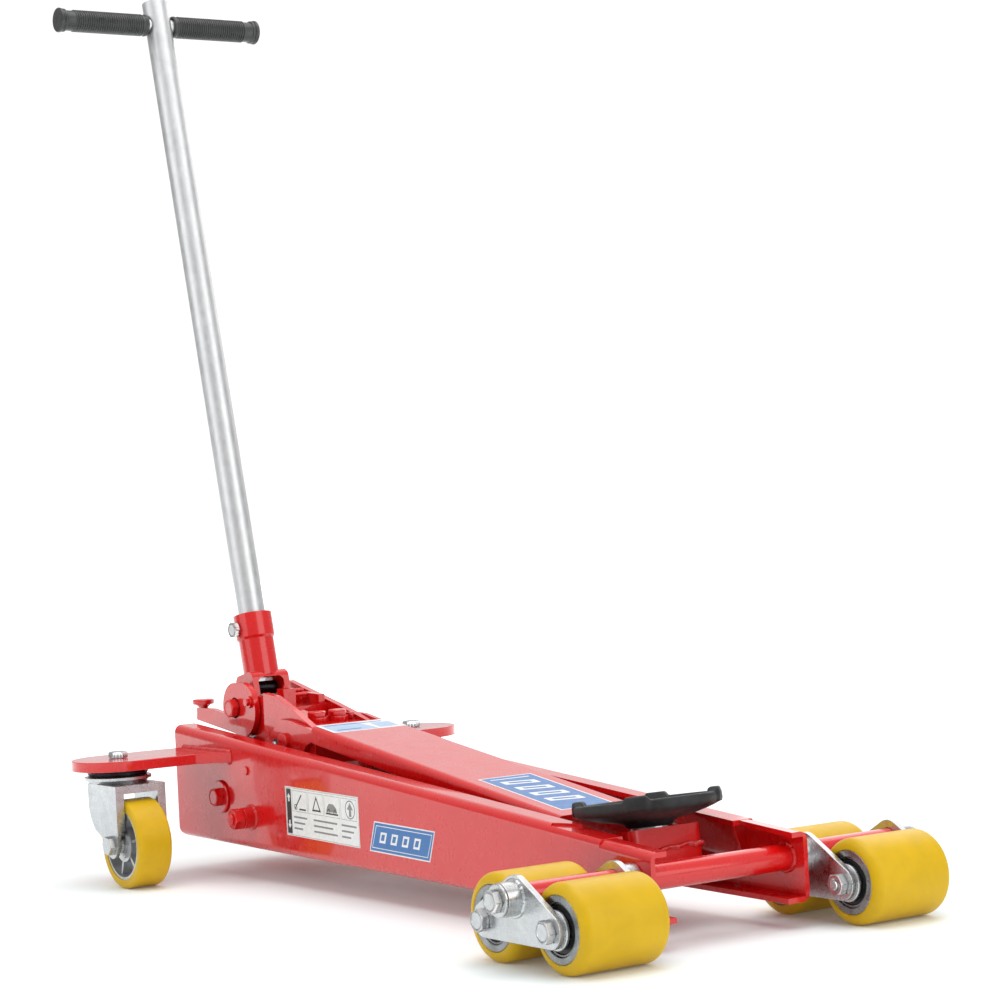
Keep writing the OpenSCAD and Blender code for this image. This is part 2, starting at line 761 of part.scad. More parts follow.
module caster_axle() {
  out = fork_half + 4;
  color(zinc) translate([0, -caster_y, 0]) {
    bar_y(12, -out - 2, out + 9, wheel_x, wheel_z);
    hex_y(19, -out - 7, -out, wheel_x, wheel_z, 10);
    hex_y(19, out, out + 8, wheel_x, wheel_z, 22);
    for (s = [0, 1]) mirror([0, s, 0]) bar_y(20, -fork_half, -wheel_w / 2 - 0.4, wheel_x, wheel_z);
  }
}
module caster_axle_right() { caster_axle(); }
module caster_axle_left() { mirror([0, 1, 0]) caster_axle(); }

rim_r = 40;
module caster_rim() {
  h = wheel_w / 2;
  color(zinc) translate([wheel_x, -caster_y, wheel_z]) rotate([90, 0, 0]) {
    rotate_extrude($fn = 96) {
      polygon([
        [6 + E_, -h], [16, -h], [16, -h + 3], [20, -h + 3], [20, h - 3], [16, h - 3], [16, h], [6 + E_, h]
      ]);
      translate([19.5, -4]) square([rim_r - 22, 8]);
      polygon([
        [rim_r, -h + 1], [rim_r, h - 1], [rim_r - 3, h - 1], [rim_r - 5, 3], [rim_r - 5, -3],
        [rim_r - 3, -h + 1]
      ]);
    }
    for (a = [0 : 60 : 300]) rotate([0, 0, a + 12]) translate([19, -1.6, -h + 5])
      cube([rim_r - 23, 3.2, 2 * h - 10]);
  }
}
module caster_rim_right() { caster_rim(); }
module caster_rim_left() { mirror([0, 1, 0]) caster_rim(); }

// A tread ring with rounded shoulders, lying on its own axis.
module tread(ri, ro, w, r) {
  rotate_extrude($fn = 96) {
    translate([ri, -w / 2]) square([ro - r - ri, w]);
    translate([ri, -w / 2 + r]) square([ro - ri, w - 2 * r]);
    for (s = [-1, 1]) translate([ro - r, s * (w / 2 - r)]) intersection() {
      circle(r = r);
      translate([0, s > 0 ? 0 : -r]) square([r, r]);
    }
  }
}

module caster_tyre() {
  color(yellow) translate([wheel_x, -caster_y, wheel_z]) rotate([90, 0, 0])
    tread(rim_r, wheel_d / 2, wheel_w, 4);
}
module caster_tyre_right() { caster_tyre(); }
module caster_tyre_left() { mirror([0, 1, 0]) caster_tyre(); }

// ---------- front bogies ----------

module bogie_outline() {
  p = roller_pitch / 2;
  strap([0, axle_z], 20.5, [p, roller_z], 16);
  strap([0, axle_z], 20.5, [-p, roller_z], 16);
  strap([-p, roller_z], 16, [p, roller_z], 16);
  polygon([[0, axle_z], [p, roller_z], [-p, roller_z]]);
}

module bogie_frame() {
  color(zinc) {
    difference() {
      union() {
        slab_y(-inner_y - bogie_t, -inner_y) bogie_outline();
        bar_y(32, -inner_y, -half_w - 1, 0, axle_z);
      }
      bar_y(axle_d + 2 * E_, -300, 0, 0, axle_z);
      for (s = [-1, 1]) bar_y(spindle_d + 2 * E_, -300, 0, s * roller_pitch / 2, roller_z);
    }
    difference() {
      union() {
        slab_y(-outer_y, -outer_y + bogie_t) bogie_outline();
        bar_y(31, -outer_y - boss_len + 0.2, -outer_y, 0, axle_z);
      }
      bar_y(axle_d + 2 * E_, -300, 0, 0, axle_z);
      for (s = [-1, 1]) bar_y(spindle_d + 2 * E_, -300, 0, s * roller_pitch / 2, roller_z);
    }
  }
}
module bogie_frame_right() { bogie_frame(); }
module bogie_frame_left() { mirror([0, 1, 0]) bogie_frame(); }

module bogie_bolts() {
  for (s = [-1, 1]) translate([s * roller_pitch / 2, 0, roller_z]) color(zinc) {
    bar_y(spindle_d, -outer_y, -inner_y);
    hex_y(19, -outer_y - 8, -outer_y, 0, 0, 10);
    hex_y(19, -inner_y, -inner_y + 8, 0, 0, 22);
    bar_y(15, -inner_y + 8, -inner_y + 12);
    bar_y(36, -outer_y + bogie_t, -outer_y + bogie_t + plate_gap - 0.4);
    bar_y(36, -inner_y - bogie_t - plate_gap + 0.4, -inner_y - bogie_t);
  }
}
module bogie_bolts_right() { bogie_bolts(); }
module bogie_bolts_left() { mirror([0, 1, 0]) bogie_bolts(); }

module roller_core(x) {
  h = roller_w / 2;
  color(zinc) translate([x, -roller_y, roller_z]) rotate([90, 0, 0]) rotate_extrude($fn = 96)
    polygon([
      [spindle_d / 2 + E_, -h], [17, -h], [18, -h + 2], [22, -h + 2], [23, -h], [core_d / 2, -h],
      [core_d / 2, h], [23, h], [22, h - 2], [18, h - 2], [17, h], [spindle_d / 2 + E_, h]
    ]);
}

module roller_tyre(x) {
  color(yellow) translate([x, -roller_y, roller_z]) rotate([90, 0, 0])
    tread(core_d / 2, roller_d / 2, roller_w, 9);
}
module roller_core_front_right() { roller_core(roller_pitch / 2); }
module roller_core_rear_right() { roller_core(-roller_pitch / 2); }
module roller_core_front_left() { mirror([0, 1, 0]) roller_core(roller_pitch / 2); }
module roller_core_rear_left() { mirror([0, 1, 0]) roller_core(-roller_pitch / 2); }
module roller_tyre_front_right() { roller_tyre(roller_pitch / 2); }
module roller_tyre_rear_right() { roller_tyre(-roller_pitch / 2); }
module roller_tyre_front_left() { mirror([0, 1, 0]) roller_tyre(roller_pitch / 2); }
module roller_tyre_rear_left() { mirror([0, 1, 0]) roller_tyre(-roller_pitch / 2); }

place() side_plate_right();
place() side_plate_left();
place() front_axle();
place() axle_end_bolts();
place() rear_cross_plate();
place() tie_tube();
place() tie_nuts();
place() outrigger_right();
place() outrigger_left();
place() link_anchors();
place() mount_bolts();
place() pump_block();
place() block_plugs();
place() valve_screws();
place() lift_cylinder();
place() caster_bolts();
place() caster_races();
place() lift_arm();
place() arm_pivot_shaft();
place() crank_roller();
place() saddle_pivot_pins();
place() saddle_carrier();
place() saddle_stud();
place() saddle_pad();
place() link_bar_right();
place() link_bar_left();
place() ram_rod();
place() handle_socket();
place() yoke_bolt();
place() pump_roller();
place() pedal_lever();
place() pedal_pad();
place() socket_bolt();
place() handle_tube();
place() crossbar();
place() grip_right();
place() grip_left();
place() pump_piston();
place() pump_spring();
place() caster_fork_right();
place() caster_fork_left();
place() caster_axle_right();
place() caster_axle_left();
place() caster_rim_right();
place() caster_rim_left();
place() caster_tyre_right();
place() caster_tyre_left();
place() bogie_frame_right();
place() bogie_frame_left();
place() bogie_bolts_right();
place() bogie_bolts_left();
place() roller_core_front_right();
place() roller_core_rear_right();
place() roller_core_front_left();
place() roller_core_rear_left();
place() roller_tyre_front_right();
place() roller_tyre_rear_right();
place() roller_tyre_front_left();
place() roller_tyre_rear_left();
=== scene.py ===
import json
import math

import bmesh
import bpy
from mathutils import Matrix, Vector


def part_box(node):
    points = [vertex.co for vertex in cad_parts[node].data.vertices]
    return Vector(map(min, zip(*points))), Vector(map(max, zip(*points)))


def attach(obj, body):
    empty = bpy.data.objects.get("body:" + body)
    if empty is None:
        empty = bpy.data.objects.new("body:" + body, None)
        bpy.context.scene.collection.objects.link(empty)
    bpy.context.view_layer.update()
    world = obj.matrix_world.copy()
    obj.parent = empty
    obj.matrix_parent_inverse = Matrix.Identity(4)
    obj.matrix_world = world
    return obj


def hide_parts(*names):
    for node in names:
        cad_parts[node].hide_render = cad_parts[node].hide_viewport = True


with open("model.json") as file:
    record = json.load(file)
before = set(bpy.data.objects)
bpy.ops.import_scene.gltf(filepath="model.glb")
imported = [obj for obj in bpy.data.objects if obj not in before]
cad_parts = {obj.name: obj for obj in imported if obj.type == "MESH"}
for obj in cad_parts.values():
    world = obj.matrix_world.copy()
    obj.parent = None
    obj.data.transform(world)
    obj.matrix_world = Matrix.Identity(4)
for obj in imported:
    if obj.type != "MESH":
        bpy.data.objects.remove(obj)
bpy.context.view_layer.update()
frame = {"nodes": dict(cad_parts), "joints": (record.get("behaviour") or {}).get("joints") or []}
nodes = frame["nodes"]
Y = Vector((0, 1, 0))
Z = Vector((0, 0, 1))
MM = 0.001
HEX_CORNER = 1 / math.cos(math.radians(30))  # across corners over across flats
AWAY = {"right": -1, "left": 1}  # which way along Y is outward
SIDES = tuple(AWAY)
M12_FLATS = 19  # across the flats of the plated heads and nuts
M12_HEAD = 8  # height of those heads


# ---------- small helpers ----------

def centre(node):
    low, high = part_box(node)
    return (low + high) / 2


def linked(mesh, name):
    obj = bpy.data.objects.new(name, mesh)
    bpy.context.scene.collection.objects.link(obj)
    return obj


def from_bmesh(bm, name, smooth=True):
    bmesh.ops.recalc_face_normals(bm, faces=bm.faces)
    mesh = bpy.data.meshes.new(name)
    bm.to_mesh(mesh)
    bm.free()
    for p in mesh.polygons:
        p.use_smooth = smooth
    return linked(mesh, name)


def spun(name, profile, start, axis, steps=96, closed=True):
    """A turned piece: profile is (distance along axis, radius) in mm, spun round axis through start."""
    axis = Vector(axis).normalized()
    side = axis.orthogonal().normalized()
    other = axis.cross(side)
    bm = bmesh.new()
    rings = []
    for along, radius in profile:
        if radius < 1e-6:
            rings.append([bm.verts.new(start + axis * along * MM)])
            continue
        ring = []
        for i in range(steps):
            a = 2 * math.pi * i / steps
            out = side * math.cos(a) + other * math.sin(a)
            ring.append(bm.verts.new(start + axis * along * MM + out * radius * MM))
        rings.append(ring)
    pairs = list(zip(rings, rings[1:]))
    if closed and len(rings[0]) > 1 and len(rings[-1]) > 1:
        pairs.append((rings[-1], rings[0]))
    for a, b in pairs:
        for i in range(steps):
            j = (i + 1) % steps
            if len(a) == 1 and len(b) == 1:
                continue
            if len(a) == 1:
                bm.faces.new((a[0], b[i], b[j]))
            elif len(b) == 1:
                bm.faces.new((a[i], a[j], b[0]))
            else:
                bm.faces.new((a[i], a[j], b[j], b[i]))
    return from_bmesh(bm, name)


def prism(name, outline, start, along, across, depth):
    """A plate: outline is in mm on the axes along and across, and it is depth mm thick."""
    along = Vector(along).normalized()
    across = Vector(across).normalized()
    normal = along.cross(across)
    bm = bmesh.new()
    ring = [bm.verts.new(start + along * u * MM + across * v * MM) for u, v in outline]
    face = bm.faces.new(ring)
    moved = bmesh.ops.extrude_face_region(bm, geom=[face])
    verts = [v for v in moved["geom"] if isinstance(v, bmesh.types.BMVert)]
    bmesh.ops.translate(bm, verts=verts, vec=normal * depth * MM)
    return from_bmesh(bm, name)


def joined(name, parts):
    """One mesh object made of several, with their modifiers applied."""
    bpy.context.view_layer.update()
    graph = bpy.context.evaluated_depsgraph_get()
    bm = bmesh.new()
    for part in parts:
        mesh = bpy.data.meshes.new_from_object(part.evaluated_get(graph))
        mesh.transform(part.matrix_world)
        bm.from_mesh(mesh)
        bpy.data.meshes.remove(mesh)
    for part in parts:
        bpy.data.objects.remove(part)
    mesh = bpy.data.meshes.new(name)
    bm.to_mesh(mesh)
    bm.free()
    return linked(mesh, name)


def bevelled(obj, width, segments=3, angle=30):
    bevel = obj.modifiers.new("Bevel", "BEVEL")
    bevel.width = width * MM
    bevel.segments = segments
    bevel.limit_method = "ANGLE"
    bevel.angle_limit = math.radians(angle)
    bevel.harden_normals = False
    weighted = obj.modifiers.new("Normals", "WEIGHTED_NORMAL")
    weighted.keep_sharp = True
    return obj


def joint(name):
    return next(j for j in frame["joints"] if j["name"] == name)


def size_mm(node):
    low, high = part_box(node)
    return (high - low) / MM


# ---------- materials ----------

class Look:
    """A Principled material with helpers for the nodes that feed it."""

    def __init__(self, name, color, rough, metallic=0.0, **constants):
        self.mat = bpy.data.materials.new(name)
        self.mat.use_nodes = True
        self.tree = self.mat.node_tree
        self.shader = self.tree.nodes["Principled BSDF"]
        self.place = self.add("ShaderNodeTexCoord").outputs["Object"]
        self.shader.inputs["Base Color"].default_value = (*color, 1)
        self.shader.inputs["Roughness"].default_value = rough
        self.shader.inputs["Metallic"].default_value = metallic
        for key, value in constants.items():
            self.shader.inputs[key.replace("_", " ")].default_value = value
        self.normal = None

    def add(self, kind, **settings):
        node = self.tree.nodes.new(kind)
        for key, value in settings.items():
            setattr(node, key, value)
        return node

    def link(self, a, b):
        self.tree.links.new(a, b)

    def stretched(self, scale):
        node = self.add("ShaderNodeMapping")
        node.inputs["Scale"].default_value = scale
        self.link(self.place, node.inputs["Vector"])
        return node.outputs["Vector"]

    def noise(self, scale, detail=4, rough=0.55, distort=0.0, vector=None):
        node = self.add("ShaderNodeTexNoise")
        node.inputs["Scale"].default_value = scale
        node.inputs["Detail"].default_value = detail
        node.inputs["Roughness"].default_value = rough
        node.inputs["Distortion"].default_value = distort
        self.link(vector or self.place, node.inputs["Vector"])
        return node.outputs["Fac"]

    def cells(self, scale, feature="F1", vector=None):
        node = self.add("ShaderNodeTexVoronoi", feature=feature)
        node.inputs["Scale"].default_value = scale
        self.link(vector or self.place, node.inputs["Vector"])
        return node.outputs["Distance"]

    def ramp(self, value, stops):
        node = self.add("ShaderNodeValToRGB")
        ramp = node.color_ramp
        while len(ramp.elements) < len(stops):
            ramp.elements.new(0.5)
        for element, (at, color) in zip(ramp.elements, stops):
            element.position = at
            element.color = (*color, 1) if len(color) == 3 else color
        self.link(value, node.inputs["Fac"])
        return node.outputs["Color"]

    def spread(self, value, low, high, a=0.0, b=1.0):
        node = self.add("ShaderNodeMapRange")
        node.inputs["From Min"].default_value = a
        node.inputs["From Max"].default_value = b
        node.inputs["To Min"].default_value = low
        node.inputs["To Max"].default_value = high
        self.link(value, node.inputs["Value"])
        return node.outputs["Result"]

    def math(self, kind, a, b=None):
        node = self.add("ShaderNodeMath", operation=kind)
        for socket, value in zip(node.inputs, (a, b)):
            if value is None:
                continue
            if isinstance(value, (int, float)):
                socket.default_value = value
            else:
                self.link(value, socket)
        return node.outputs["Value"]

    def mixed(self, share, a, b, blend="MIX"):
        node = self.add("ShaderNodeMix", data_type="RGBA", blend_type=blend)
        if isinstance(share, (int, float)):
            node.inputs["Factor"].default_value = share
        else:
            self.link(share, node.inputs["Factor"])
        for socket, value in ((node.inputs[6], a), (node.inputs[7], b)):
            if isinstance(value, tuple):
                socket.default_value = (*value, 1)
            else:
                self.link(value, socket)
        return node.outputs[2]

    def bump(self, height, depth, strength=0.5):
        node = self.add("ShaderNodeBump")
        node.inputs["Strength"].default_value = strength
        node.inputs["Distance"].default_value = depth
        self.link(height, node.inputs["Height"])
        if self.normal is not None:
            self.link(self.normal, node.inputs["Normal"])
        self.normal = node.outputs["Normal"]
        self.link(self.normal, self.shader.inputs["Normal"])

    def color(self, value):
        self.link(value, self.shader.inputs["Base Color"])

    def rough(self, value):
        self.link(value, self.shader.inputs["Roughness"])


def scaled(color, factor, most=10):
    return tuple(min(most, c * factor) for c in color)


def red_paint(name="red_gloss_paint", cast=False):
    look = Look(
        name, (0.60, 0.004, 0.004), 0.28, Coat_Weight=0.85, Coat_Roughness=0.05, Specular_IOR_Level=0.3,
    )
    broad = look.noise(6, 3)
    fine = look.noise(90, 5, 0.6)
    tone = look.ramp(broad, [(0.3, (0.575, 0.0025, 0.0028)), (0.7, (0.65, 0.0045, 0.0045))])
    tone = look.mixed(look.spread(fine, 0.0, 0.06, 0.4, 0.8), tone, (0.46, 0.005, 0.007))
    dust = look.spread(look.noise(24, 4, 0.6, 0.4), 0.0, 0.025, 0.55, 0.85)
    look.color(look.mixed(dust, tone, (0.55, 0.30, 0.28)))
    look.rough(look.spread(look.noise(38, 5, 0.65), 0.22, 0.36, 0.3, 0.75))
    if cast:
        look.bump(look.noise(150, 4, 0.6), 0.0009, 0.32)
        look.bump(look.noise(1000, 3), 0.0002, 0.25)
    else:
        look.bump(look.noise(34, 2, 0.4), 0.0016, 0.07)
        look.bump(look.noise(330, 2, 0.5), 0.00016, 0.2)
    return look.mat


def zinc_plate(name="zinc_plate", tint=(0.58, 0.585, 0.595)):
    look = Look(name, tint, 0.28, 1.0)
    cloud = look.noise(42, 5, 0.6, 0.6)
    warm = look.noise(18, 3)
    tone = look.ramp(cloud, [(0.25, scaled(tint, 0.84)), (0.55, tint), (0.8, scaled(tint, 1.13, 0.93))])
    tone = look.mixed(look.spread(warm, 0.0, 0.16, 0.5, 0.75), tone, (0.60, 0.56, 0.47))
    look.color(tone)
    look.rough(look.spread(look.noise(130, 5, 0.7), 0.2, 0.4, 0.3, 0.75))
    look.bump(look.noise(420, 4, 0.6), 0.00015, 0.2)
    look.bump(look.noise(60, 3), 0.0005, 0.02)
    return look.mat


def tube_steel(axis):
    """Galvanised tube: mottled, with fine marks along its own length."""
    look = Look("galvanised_tube", (0.66, 0.665, 0.675), 0.3, 1.0)
    along = look.stretched(tuple(0.05 + 0.95 * (1 - abs(a)) for a in axis))
    marks = look.noise(900, 3, 0.6, 0, along)
    mottle = look.noise(34, 6, 0.65, 0.8)
    stops = [(0.28, (0.56, 0.565, 0.575)), (0.52, (0.62, 0.625, 0.63)), (0.78, (0.67, 0.675, 0.68))]
    tone = look.ramp(mottle, stops)
    look.color(look.mixed(look.spread(marks, 0.0, 0.14, 0.45, 0.7), tone, (0.48, 0.485, 0.49)))
    look.rough(look.spread(look.noise(110, 5, 0.7), 0.36, 0.5, 0.3, 0.7))
    look.bump(marks, 0.0001, 0.2)
    look.bump(look.noise(160, 4), 0.0003, 0.1)
    return look.mat


def dark_steel(name="dark_steel", tint=(0.03, 0.03, 0.032), rough=0.32):
    look = Look(name, tint, rough, 0.85)
    tone = look.ramp(look.noise(80, 5, 0.6), [(0.3, scaled(tint, 0.6)), (0.75, scaled(tint, 1.9))])
    look.color(tone)
    look.rough(look.spread(look.noise(170, 5, 0.7), rough - 0.1, rough + 0.16, 0.3, 0.75))
    look.bump(look.noise(600, 4), 0.00015, 0.3)
    return look.mat


def turned_steel(name, centre_point, tint=(0.30, 0.305, 0.31), pitch=0.0009):
    """Steel faced on a lathe: faint rings round an axis along Y."""
    look = Look(name, tint, 0.28, 1.0)
    shift = look.add("ShaderNodeMapping")
    shift.inputs["Location"].default_value = (-centre_point.x, 0, -centre_point.z)
    look.link(look.place, shift.inputs["Vector"])
    flat = look.add("ShaderNodeVectorMath", operation="MULTIPLY")
    flat.inputs[1].default_value = (1, 0, 1)
    look.link(shift.outputs["Vector"], flat.inputs[0])
    radius = look.add("ShaderNodeVectorMath", operation="LENGTH")
    look.link(flat.outputs["Vector"], radius.inputs[0])
    wave = look.math("SINE", look.math("MULTIPLY", radius.outputs["Value"], 2 * math.pi / pitch))
    cloud = look.noise(60, 5, 0.6)
    tone = look.ramp(cloud, [(0.3, scaled(tint, 0.72)), (0.75, scaled(tint, 1.3, 1))])
    look.color(look.mixed(look.spread(wave, 0.0, 0.18, -1, 1), tone, scaled(tint, 0.6)))
    look.rough(look.spread(look.noise(150, 4, 0.7), 0.2, 0.38, 0.3, 0.75))
    look.bump(look.spread(wave, 0, 1, -1, 1), 0.00005, 0.35)
    return look.mat


def polyurethane(name, centre_point):
    """Cast yellow polyurethane: slightly cloudy, soft gloss, light passing just under the skin."""
    look = Look(
        name, (0.63, 0.385, 0.001), 0.4, Subsurface_Weight=0.05, Subsurface_Scale=0.004,
        Coat_Weight=0.05, Coat_Roughness=0.25, Specular_IOR_Level=0.26,
    )
    look.shader.inputs["Subsurface Radius"].default_value = (1.0, 0.5, 0.08)
    cloud = look.noise(30, 4, 0.55, 0.5)
    tone = look.ramp(cloud, [(0.3, (0.59, 0.360, 0.001)), (0.7, (0.67, 0.410, 0.001))])
    grime = look.spread(look.noise(75, 6, 0.7), 0.0, 0.14, 0.58, 0.88)
    look.color(look.mixed(grime, tone, (0.42, 0.22, 0.010)))
    look.rough(look.spread(look.noise(120, 5, 0.65), 0.34, 0.5, 0.3, 0.7))
    band = look.stretched((1, 22, 1))
    look.bump(look.noise(26, 3, 0.5, 0, band), 0.00025, 0.12)
    look.bump(look.noise(460, 3), 0.0001, 0.22)
    return look.mat


def rubber(name, tint=(0.012, 0.012, 0.013), rough=0.5, grain=650, depth=0.00035, shine=0.45):
    look = Look(name, tint, rough, Specular_IOR_Level=shine)
    tone = look.ramp(look.noise(60, 5, 0.6), [(0.3, tint), (0.75, tuple(c * 2.1 + 0.004 for c in tint))])
    dust = look.spread(look.noise(130, 6, 0.75), 0.0, 0.22, 0.55, 0.85)
    look.color(look.mixed(dust, tone, (0.055, 0.053, 0.05)))
    look.rough(look.spread(look.noise(90, 5, 0.65), rough - 0.13, rough + 0.14, 0.3, 0.75))
    look.bump(look.cells(grain), depth, 0.35)
    look.bump(look.noise(90, 3), 0.0006, 0.14)
    return look.mat


def cast_alloy(name="cast_alloy"):
    look = Look(name, (0.60, 0.605, 0.615), 0.4, 1.0)
    tone = look.ramp(look.noise(70, 6, 0.65, 0.4), [(0.3, (0.50, 0.505, 0.51)), (0.75, (0.70, 0.705, 0.71))])
    look.color(tone)
    look.rough(look.spread(look.noise(160, 5, 0.7), 0.32, 0.55, 0.3, 0.75))
    look.bump(look.noise(380, 5, 0.65), 0.0004, 0.4)
    return look.mat


RED = red_paint()
CAST_RED = red_paint("red_cast_paint", cast=True)
ZINC = zinc_plate()
DULL_ZINC = zinc_plate("dull_zinc", (0.46, 0.465, 0.47))
BLACK_STEEL = dark_steel()
GLOSS_BLACK = dark_steel("gloss_black_steel", (0.016, 0.016, 0.018), 0.2)
SEAL = rubber("seal_rubber", (0.010, 0.010, 0.011), 0.42, 900, 0.0002)
GRIP = rubber("grip_rubber", (0.013, 0.0135, 0.014), 0.36, 1100, 0.0002, 0.6)
SADDLE = rubber("saddle_rubber", (0.012, 0.0125, 0.0135), 0.5, 520, 0.0004, 0.3)
ALLOY = cast_alloy()


def paint(obj, material):
    obj.data.materials.clear()
    obj.data.materials.append(material)
    return obj


def stands_for(obj, body, node, material):
    """A new piece that takes the place of one CAD node."""
    paint(obj, material)
    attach(obj, body)
    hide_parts(node)
    return obj


def added(obj, body, material):
    """A new detail piece that rides on a body."""
    paint(obj, material)
    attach(obj, body)
    return obj


def arc_points(u, v, radius, start, end, steps):
    turns = [math.radians(start + (end - start) / steps * i) for i in range(steps + 1)]
    return [(u + radius * math.cos(a), v + radius * math.sin(a)) for a in turns]


# ---------- front rollers ----------

def make_roller(end, side):
    body = f"roller_{end}_{side}"
    tread = f"roller_tyre_{end}_{side}"
    core = f"roller_core_{end}_{side}"
    middle = centre(tread)
    half = size_mm(tread).y / 2
    outer = size_mm(tread).z / 2
    inner = size_mm(core).z / 2
    round_r = 8.5
    profile = [(-half, inner), (-half, outer - round_r - 0.4)]
    profile += [(-half + round_r + a, outer - round_r + b) for a, b in arc_points(0, 0, round_r, 180, 90, 12)]
    profile += [(0, outer)]
    profile += [(half - round_r + a, outer - round_r + b) for a, b in arc_points(0, 0, round_r, 90, 0, 12)]
    profile += [(half, outer - round_r - 0.4), (half, inner)]
    tyre = spun(f"{tread}_cast", profile, middle, Y, 160)
    stands_for(tyre, body, tread, polyurethane(f"pu_{end}_{side}", middle))

    def facing(name, s, outline, steps):
        """A ring in one end: its outline is (depth in from the roller's face, radius)."""
        return spun(name, [(s * (half - depth), radius) for depth, radius in outline], middle, Y, steps)

    steel = []
    for s in (-1, 1):
        steel.append(facing("ring", s, [
            (9, inner), (0.7, inner), (0, inner - 0.8), (0, 24.4), (0.8, 23.6), (9, 23.6),
        ], 128))
        steel.append(facing("race", s, [
            (9, 23.5), (1.6, 23.5), (1.3, 22.9), (1.6, 21.6), (2.2, 21.4), (9, 21.4),
        ], 128))
        steel.append(facing("inner_race", s, [(9, 14.5), (0.9, 14.5), (0.6, 13.9), (0.6, 9.4), (9, 9.4)], 96))
    sleeve = [(-half + 8, inner), (half - 8, inner), (half - 8, 8.05), (-half + 8, 8.05)]
    steel.append(spun("sleeve", sleeve, middle, Y, 96))
    ring = joined(f"{core}_steel", steel)
    bevelled(ring, 0.25, 2, 40)
    stands_for(ring, body, core, turned_steel(f"turned_{end}_{side}", middle))

    seals = []
    for s in (-1, 1):
        seals.append(facing("seal", s, [
            (6, 21.3), (2.8, 21.3), (2.5, 20.6), (3.1, 19.2), (2.6, 17.0), (3.2, 14.6), (6, 14.6),
        ], 128))
    added(joined(f"{core}_seals", seals), body, SEAL)


for end in ("front", "rear"):
    for side in SIDES:
        make_roller(end, side)


# ---------- hexagon bolts ----------

def hex_head(name, start, axis, flats, height, turn=0, nut=False, dish=1.1):
    """A hexagon head or nut whose corners are turned off by a 30 degree cone, standing on start."""
    axis = Vector(axis).normalized()
    side = axis.orthogonal().normalized()
    other = axis.cross(side)
    bm = bmesh.new()
    flat = flats / 2
    steps = 96
    turn_r = math.radians(turn)

    def hex_radius(a):
        b = (a - turn_r) % (math.pi / 3)
        return flat / math.cos(b - math.pi / 6)

    def point(along, radius, a):
        out = side * math.cos(a) + other * math.sin(a)
        return start + (axis * along + out * radius) * MM

    crown = flat * 0.96
    rings = []
    angles = [2 * math.pi * i / steps + turn_r for i in range(steps)]
    rings.append([bm.verts.new(point(0.35, min(hex_radius(a), flat * 1.02), a)) for a in angles])
    for rise, slope, base in ((0.35, 0.5, flat), (height, -0.58, crown)):
        rings.append([
            bm.verts.new(point(rise + (hex_radius(a) - base) * slope, hex_radius(a), a)) for a in angles
        ])
    rings.append([bm.verts.new(point(height, crown, a)) for a in angles])
    if nut:
        rings.append([bm.verts.new(point(height, flat * 0.60, a)) for a in angles])
        rings.append([bm.verts.new(point(height - 0.9, flat * 0.52, a)) for a in angles])
        rings.append([bm.verts.new(point(height + dish, flat * 0.51, a)) for a in angles])
        rings.append([bm.verts.new(point(height + dish + 0.8, flat * 0.44, a)) for a in angles])
    else:
        rings.append([bm.verts.new(point(height, flat * 0.82, a)) for a in angles])
        rings.append([bm.verts.new(point(height - 0.35, flat * 0.76, a)) for a in angles])
    for a, b in zip(rings, rings[1:]):
        for i in range(steps):
            j = (i + 1) % steps
            bm.faces.new((a[i], a[j], b[j], b[i]))
    bm.faces.new(rings[-1])
    bm.faces.new(list(reversed(rings[0])))
    obj = from_bmesh(bm, name)
    bevelled(obj, 0.22, 2, 24)
    return obj


def round_bar(name, start, axis, radius, length, edge=0.5, bore=0.0):
    profile = [
        (0, bore), (0, radius - edge), (edge, radius), (length - edge, radius), (length, radius - edge),
        (length, bore),
    ]
    obj = spun(name, profile, start, axis, 72, closed=bore > 0)
    bevelled(obj, 0.2, 2, 40)
    return obj


def make_bogie(side):
    s = AWAY[side]
    body = f"bogie_{side}"
    outward = Vector((0, s, 0))
    tread = centre(f"roller_tyre_front_{side}")
    half = size_mm(f"roller_tyre_front_{side}").y / 2
    gap = 4  # from a roller's face to a plate
    plate = 6  # thickness of a plate
    face = tread.y + s * (half + gap) * MM
    parts = []
    for end in ("front", "rear"):
        c = centre(f"roller_tyre_{end}_{side}")
        at = Vector((c.x, face, c.z))
        turn = 10 if end == "front" else 37
        parts.append(hex_head("head", at + outward * plate * MM, outward, M12_FLATS, M12_HEAD, turn))
        inner = Vector((c.x, c.y - s * (half + gap + plate) * MM, c.z))
        parts.append(hex_head("nut", inner, -outward, M12_FLATS, M12_HEAD, 22, nut=True))
        parts.append(round_bar("spacer", at - outward * 3.6 * MM, outward, 18, 3.6, 0.7, 8))
        parts.append(round_bar("lip", at - outward * 3.6 * MM, -outward, 13.2, 2.2, 0.5, 8))
        parts.append(round_bar("spacer", inner + outward * plate * MM, outward, 18, 3.6, 0.7, 8))
        parts.append(round_bar("shank", inner, outward, 8, 2 * (half + gap + plate) - 0.2, 0.3))
    stands_for(joined(f"bogie_bolts_{side}_plated", parts), body, f"bogie_bolts_{side}", ZINC)


for side in SIDES:
    make_bogie(side)


# ---------- grips ----------

